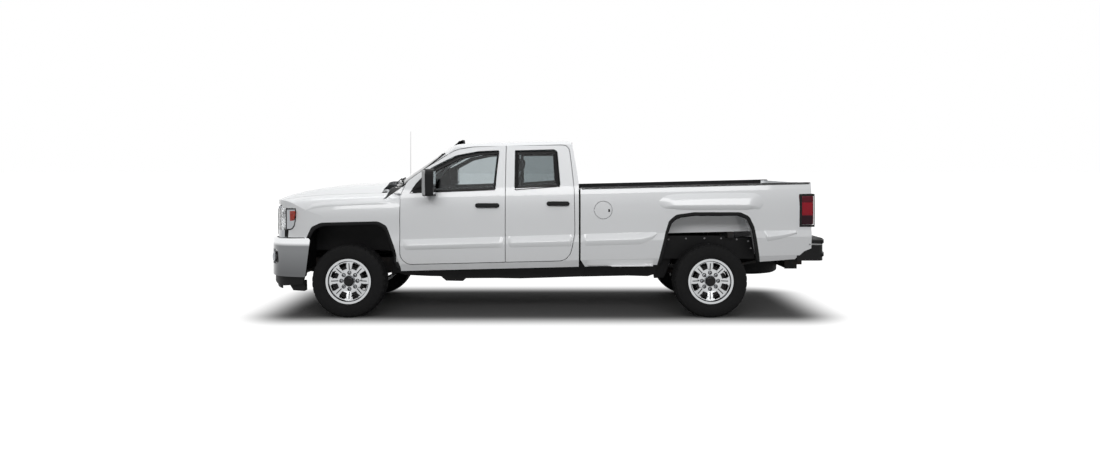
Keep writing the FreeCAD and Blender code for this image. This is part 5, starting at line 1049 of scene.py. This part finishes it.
# A black strip along the upper crease: painted shade in the crease
strip_on("gate_crease_high_painted_shade", straight(-0.8, 0.8, 20, 1.445), 0.04, 0.01, gate_face, "black", "tailgate")
patch_on("plate_recess", (-0.17, 0.17), (0.67, 0.83), 8, 5, 0.002, step_face, "gloss_black")
for side_name, side in SIDES:
    for k, z in enumerate((0.845, 0.7)):
        strip_on(f"bumper_lip_{side_name}_{k}", straight(side * 0.19, side * 0.96, 26, z), 0.036, 0.014,
                 step_face, "black")
    patch_on(f"step_pad_{side_name}", (2.975, 3.15), out_from(side, 0.2, 0.9), 6, 20, 0.004, step_top, "mesh")
    path = [(2.93, 0.823), (2.99, 0.822), (3.05, 0.82), (3.09, 0.818)]
    ribbon(f"bumper_strip_{side_name}", path, 0.016, 0.005, "mirror_grey", "chassis", side, tree=bumper_side)

# The bed: black skirts inside under the rails, partly the rail caps' own black and partly painted shade on
# the bedsides' inner walls, wheelhouse walls with their clips, floor ribs, tie-downs and edges
RAKE = 0.0235
FRONT_AXLE = -2.1675
CLIPS = ((1.42, 0.85), (1.62, 0.86), (1.83, 0.862), (2.02, 0.862), (2.2, 0.85), (2.33, 0.83), (1.36, 0.76),
         (2.36, 0.75))
CLIP = [(0.0, 0.704), (0.008, 0.703), (0.011, 0.7), (0.011, 0.698)]
SKIRT_AND_SHADE = ((0.8, 0.002), (0.8, -0.052), (0.8055, -0.058), (0.8055, 0.002))
TIE_DOWN = ((-0.03, 0.0, 0.02), (-0.026, 0.024, -0.01), (0.0, 0.03, -0.024), (0.026, 0.024, -0.01),
            (0.03, 0.0, 0.02))


def rise(x):
    """How much higher the body sits at x than over the front axle."""
    return RAKE * (x - FRONT_AXLE)


bed_floor = shooter(["bed_tub"], "z", 1.3, -1)
for k, y in enumerate(span(-0.48, 0.48, 8)):
    strip_on(f"bed_rib_{k}", straight(0.52, 2.82, 60, y), 0.06, 0.01, bed_floor, "paint")
for side_name, side in SIDES:
    # Black down the inner wall under each rail: partly the cap's own colour, partly painted shade
    rows = [[(x, side * y, 1.386 + rise(x) + z) for y, z in SKIRT_AND_SHADE] for x in span(0.43, 2.86, 30)]
    sheet(f"rail_skirt_painted_shade_{side_name}", rows, "black", smooth=False, round_too=True, capped=True)
    for name, x0, x1, top in (("front", 1.3, 2.06, 0.893), ("rear", 2.06, 2.4, 0.872)):
        box(f"wheelhouse_wall_{name}_{side_name}", (x0, x1), out_from(side, 0.69, 0.7), (0.63, top), 0.002,
            "black")
    for k, (x, z) in enumerate(CLIPS):
        lathe(f"liner_clip_rear_{side_name}_{k}", outward(CLIP, side), (x, 0, z), "steel", steps=12)
    bed_wall = shooter(["bed_tub"], "y", 0.0, side)
    for k, x in enumerate((0.62, 2.72)):
        spot, _ = bed_wall(x, 1.28 + rise(x))
        path = smooth_path([spot + Vector((dx, -side * dy, dz)) for dx, dy, dz in TIE_DOWN], 5)
        tube(f"tie_down_{side_name}_{k}", path, 0.005, "black")
    path = []
    for x in span(0.42, 2.94, 84):
        z = next((z for z in span(1.56, 1.36, 200) if on_body(x, z, side)), None)
        if z is not None:
            path.append((x, z - 0.005))
    ribbon(f"bedside_edge_{side_name}", path, 0.009, 0.0015, "black", "chassis", side, 0.002)
    box(f"cab_gap_seal_{side_name}", (0.3885, 0.4025), out_from(side, 0.7, 0.965), (0.64, 1.425), 0.002,
        "seal")

# Seats: cushions blown up by cloth simulation, on hard bases
SIM_FRAMES = 20
PRESSURE = 4.0
SEAM_DEPTH, SEAM_WIDTH = 0.006, 0.008


def settled(item):
    """The item's mesh with its modifiers applied."""
    graph = bpy.context.evaluated_depsgraph_get()
    mesh = bpy.data.meshes.new_from_object(item.evaluated_get(graph))
    item.modifiers.clear()
    item.data = mesh
    return mesh


def cushion(name, outline, y_range, voxel, seams, cap=0.022, inset=0.011, edge=0.045):
    """A pad from an outline of (x, z) points and a width, blown up by at most cap.
    The seams are (axis, place) lines pressed into it."""
    item = slab(name, outline, *y_range, "cloth", edge, 4)
    remesh = item.modifiers.new("remesh", "REMESH")
    remesh.mode = "VOXEL"
    remesh.voxel_size = voxel
    mesh = settled(item)
    start = [v.co - v.normal * inset for v in mesh.vertices]
    for v, p in zip(mesh.vertices, start):
        v.co = p
    mesh.update()
    sim = item.modifiers.new("cloth", "CLOTH")
    sim.settings.use_pressure = True
    sim.settings.uniform_pressure_force = PRESSURE
    sim.settings.effector_weights.gravity = 0.0
    sim.settings.quality = 4
    sim.point_cache.frame_start = 1
    sim.point_cache.frame_end = SIM_FRAMES
    for number in range(1, SIM_FRAMES + 1):
        scene.frame_set(number)
    mesh = settled(item)
    for v, p in zip(mesh.vertices, start):
        move = v.co - p
        if move.length > cap:
            v.co = p + move.normalized() * cap
    mesh.update()
    scene.frame_set(1)
    finer = item.modifiers.new("finer", "SUBSURF")
    finer.levels = finer.render_levels = 1
    mesh = settled(item)
    normals = [v.normal.copy() for v in mesh.vertices]
    for v, normal in zip(mesh.vertices, normals):
        gaps = [getattr(v.co, axis) - place for axis, place in seams]
        v.co -= normal * max(SEAM_DEPTH * math.exp(-(gap / SEAM_WIDTH) ** 2) for gap in gaps)
    mesh.update()
    for polygon in mesh.polygons:
        polygon.use_smooth = True
    return item


FLOOR = 0.643
UNIT = 0.41              # the seats' sizes are in parts of this length
SEAT_X, BENCH_X = -0.6875, 0.03
SEAT_Z, BENCH_Z = FLOOR + rise(SEAT_X), FLOOR + rise(BENCH_X)
SEAT_CUSHION = [(-0.65, 0.64), (0.6, 0.5), (0.56, 0.84), (-0.1, 0.88), (-0.63, 0.96)]
SEAT_BACK = [(0.34, 0.9), (0.66, 0.68), (0.92, 1.6), (1.01, 2.18), (0.78, 2.22), (0.5, 1.5)]
HEADREST = [(0.8, 2.3), (1.01, 2.27), (1.09, 2.66), (0.9, 2.69)]
BENCH_CUSHION = [(-0.225, 0.262), (0.27, 0.21), (0.262, 0.342), (-0.218, 0.39)]
BENCH_BACK = [(0.165, 1.03), (0.285, 0.96), (0.288, 1.46), (0.232, 1.478)]


def in_seat(points):
    return [(SEAT_X + UNIT * x, SEAT_Z + UNIT * z) for x, z in points]


for side_name, side in SIDES:
    y0, y1 = out_from(side, 0.166, 0.722)
    middle = (y0 + y1) / 2
    seams = [("y", middle - 0.16), ("y", middle + 0.16)]
    seat = cushion(f"seat_cushion_{side_name}", in_seat(SEAT_CUSHION), (y0, y1), 0.012,
                   seams + [("x", SEAT_X - UNIT * 0.2)])
    cushion(f"seat_back_{side_name}", in_seat(SEAT_BACK), (y0, y1), 0.012,
            seams + [("z", SEAT_Z + UNIT * 1.35)])
    cushion(f"headrest_{side_name}", in_seat(HEADREST), (middle - 0.138, middle + 0.138), 0.009,
            [("y", middle)], 0.014, 0.008, 0.03)
    if side < 0:
        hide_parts("front_seats")
    (x0, z0), (x1, z1), (x2, z2), (x3, z3) = in_seat([(-0.45, 0), (0.5, 0.66), (0.42, 0.45), (0.6, 0.9)])
    box(f"seat_base_{side_name}", (x0, x1), (y0 + 0.05, y1 - 0.05), (z0 - 0.004, z1), 0.015, "cabin",
        segments=3)
    box(f"seat_shell_{side_name}", (x2, x3), (y0 + 0.03, y1 - 0.03), (z2, z3), 0.02, "cabin",
        segments=3)
    for letter, y in (("a", middle - 0.07), ("b", middle + 0.07)):
        path = [(x, y, z) for x, z in in_seat([(0.9, 2.1), (0.95, 2.36)])]
        tube(f"headrest_post_{side_name}_{letter}", path, 0.006, "chrome")
bench = cushion("bench_cushion", [(x, BENCH_Z + z) for x, z in BENCH_CUSHION], (-0.79, 0.79), 0.015,
                [("y", -0.27), ("y", 0.27), ("x", 0.05)])
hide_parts("rear_bench")
cushion("bench_back", BENCH_BACK, (-0.79, 0.79), 0.015, [("y", -0.27), ("y", 0.27), ("z", 1.28)], 0.016,
        0.008)
box("bench_base", (-0.18, 0.24), (-0.74, 0.74), (BENCH_Z - 0.006, BENCH_Z + 0.26), 0.015, "cabin",
    segments=3)

# Cabin lining: headliner, carpet, rear wall, and the dashboard's screens and vents
roof_inside = shooter(["cab_roof"], "z", 1.3, 1)
floor_inside = shooter(["cab_floor"], "z", 0.85, -1)
rear_wall = shooter(["cab_floor"], "x", -0.1, 1)
dash_face = shooter(["dashboard"], "x", -0.9, -1)
patch_on("headliner", (-0.95, 0.22), (-0.66, 0.66), 16, 16, 0.004, roof_inside, "lining")
for side_name, side in SIDES:
    patch_on(f"carpet_{side_name}", (-1.34, -0.3), out_from(side, 0.17, 0.8), 18, 10, 0.004, floor_inside,
             "carpet")
patch_on("rear_wall_lining", (-0.74, 0.74), (1.3, 1.48), 20, 5, 0.003, rear_wall, "cabin")
patch_on("dash_screen", (-0.13, 0.13), (1.19, 1.31), 8, 5, 0.004, dash_face, "gloss_black")
patch_on("dash_gauges", (-0.52, -0.24), (1.2, 1.31), 8, 5, 0.003, dash_face, "gloss_black")
for k, y in enumerate((-0.72, -0.19, 0.19, 0.72)):
    patch_on(f"dash_vent_{k}", (y - 0.045, y + 0.045), (1.2, 1.28), 4, 4, 0.003, dash_face, "mesh")
strip_on("dash_trim", straight(-0.76, 0.76, 24, 1.165), 0.016, 0.003, dash_face, "chrome")
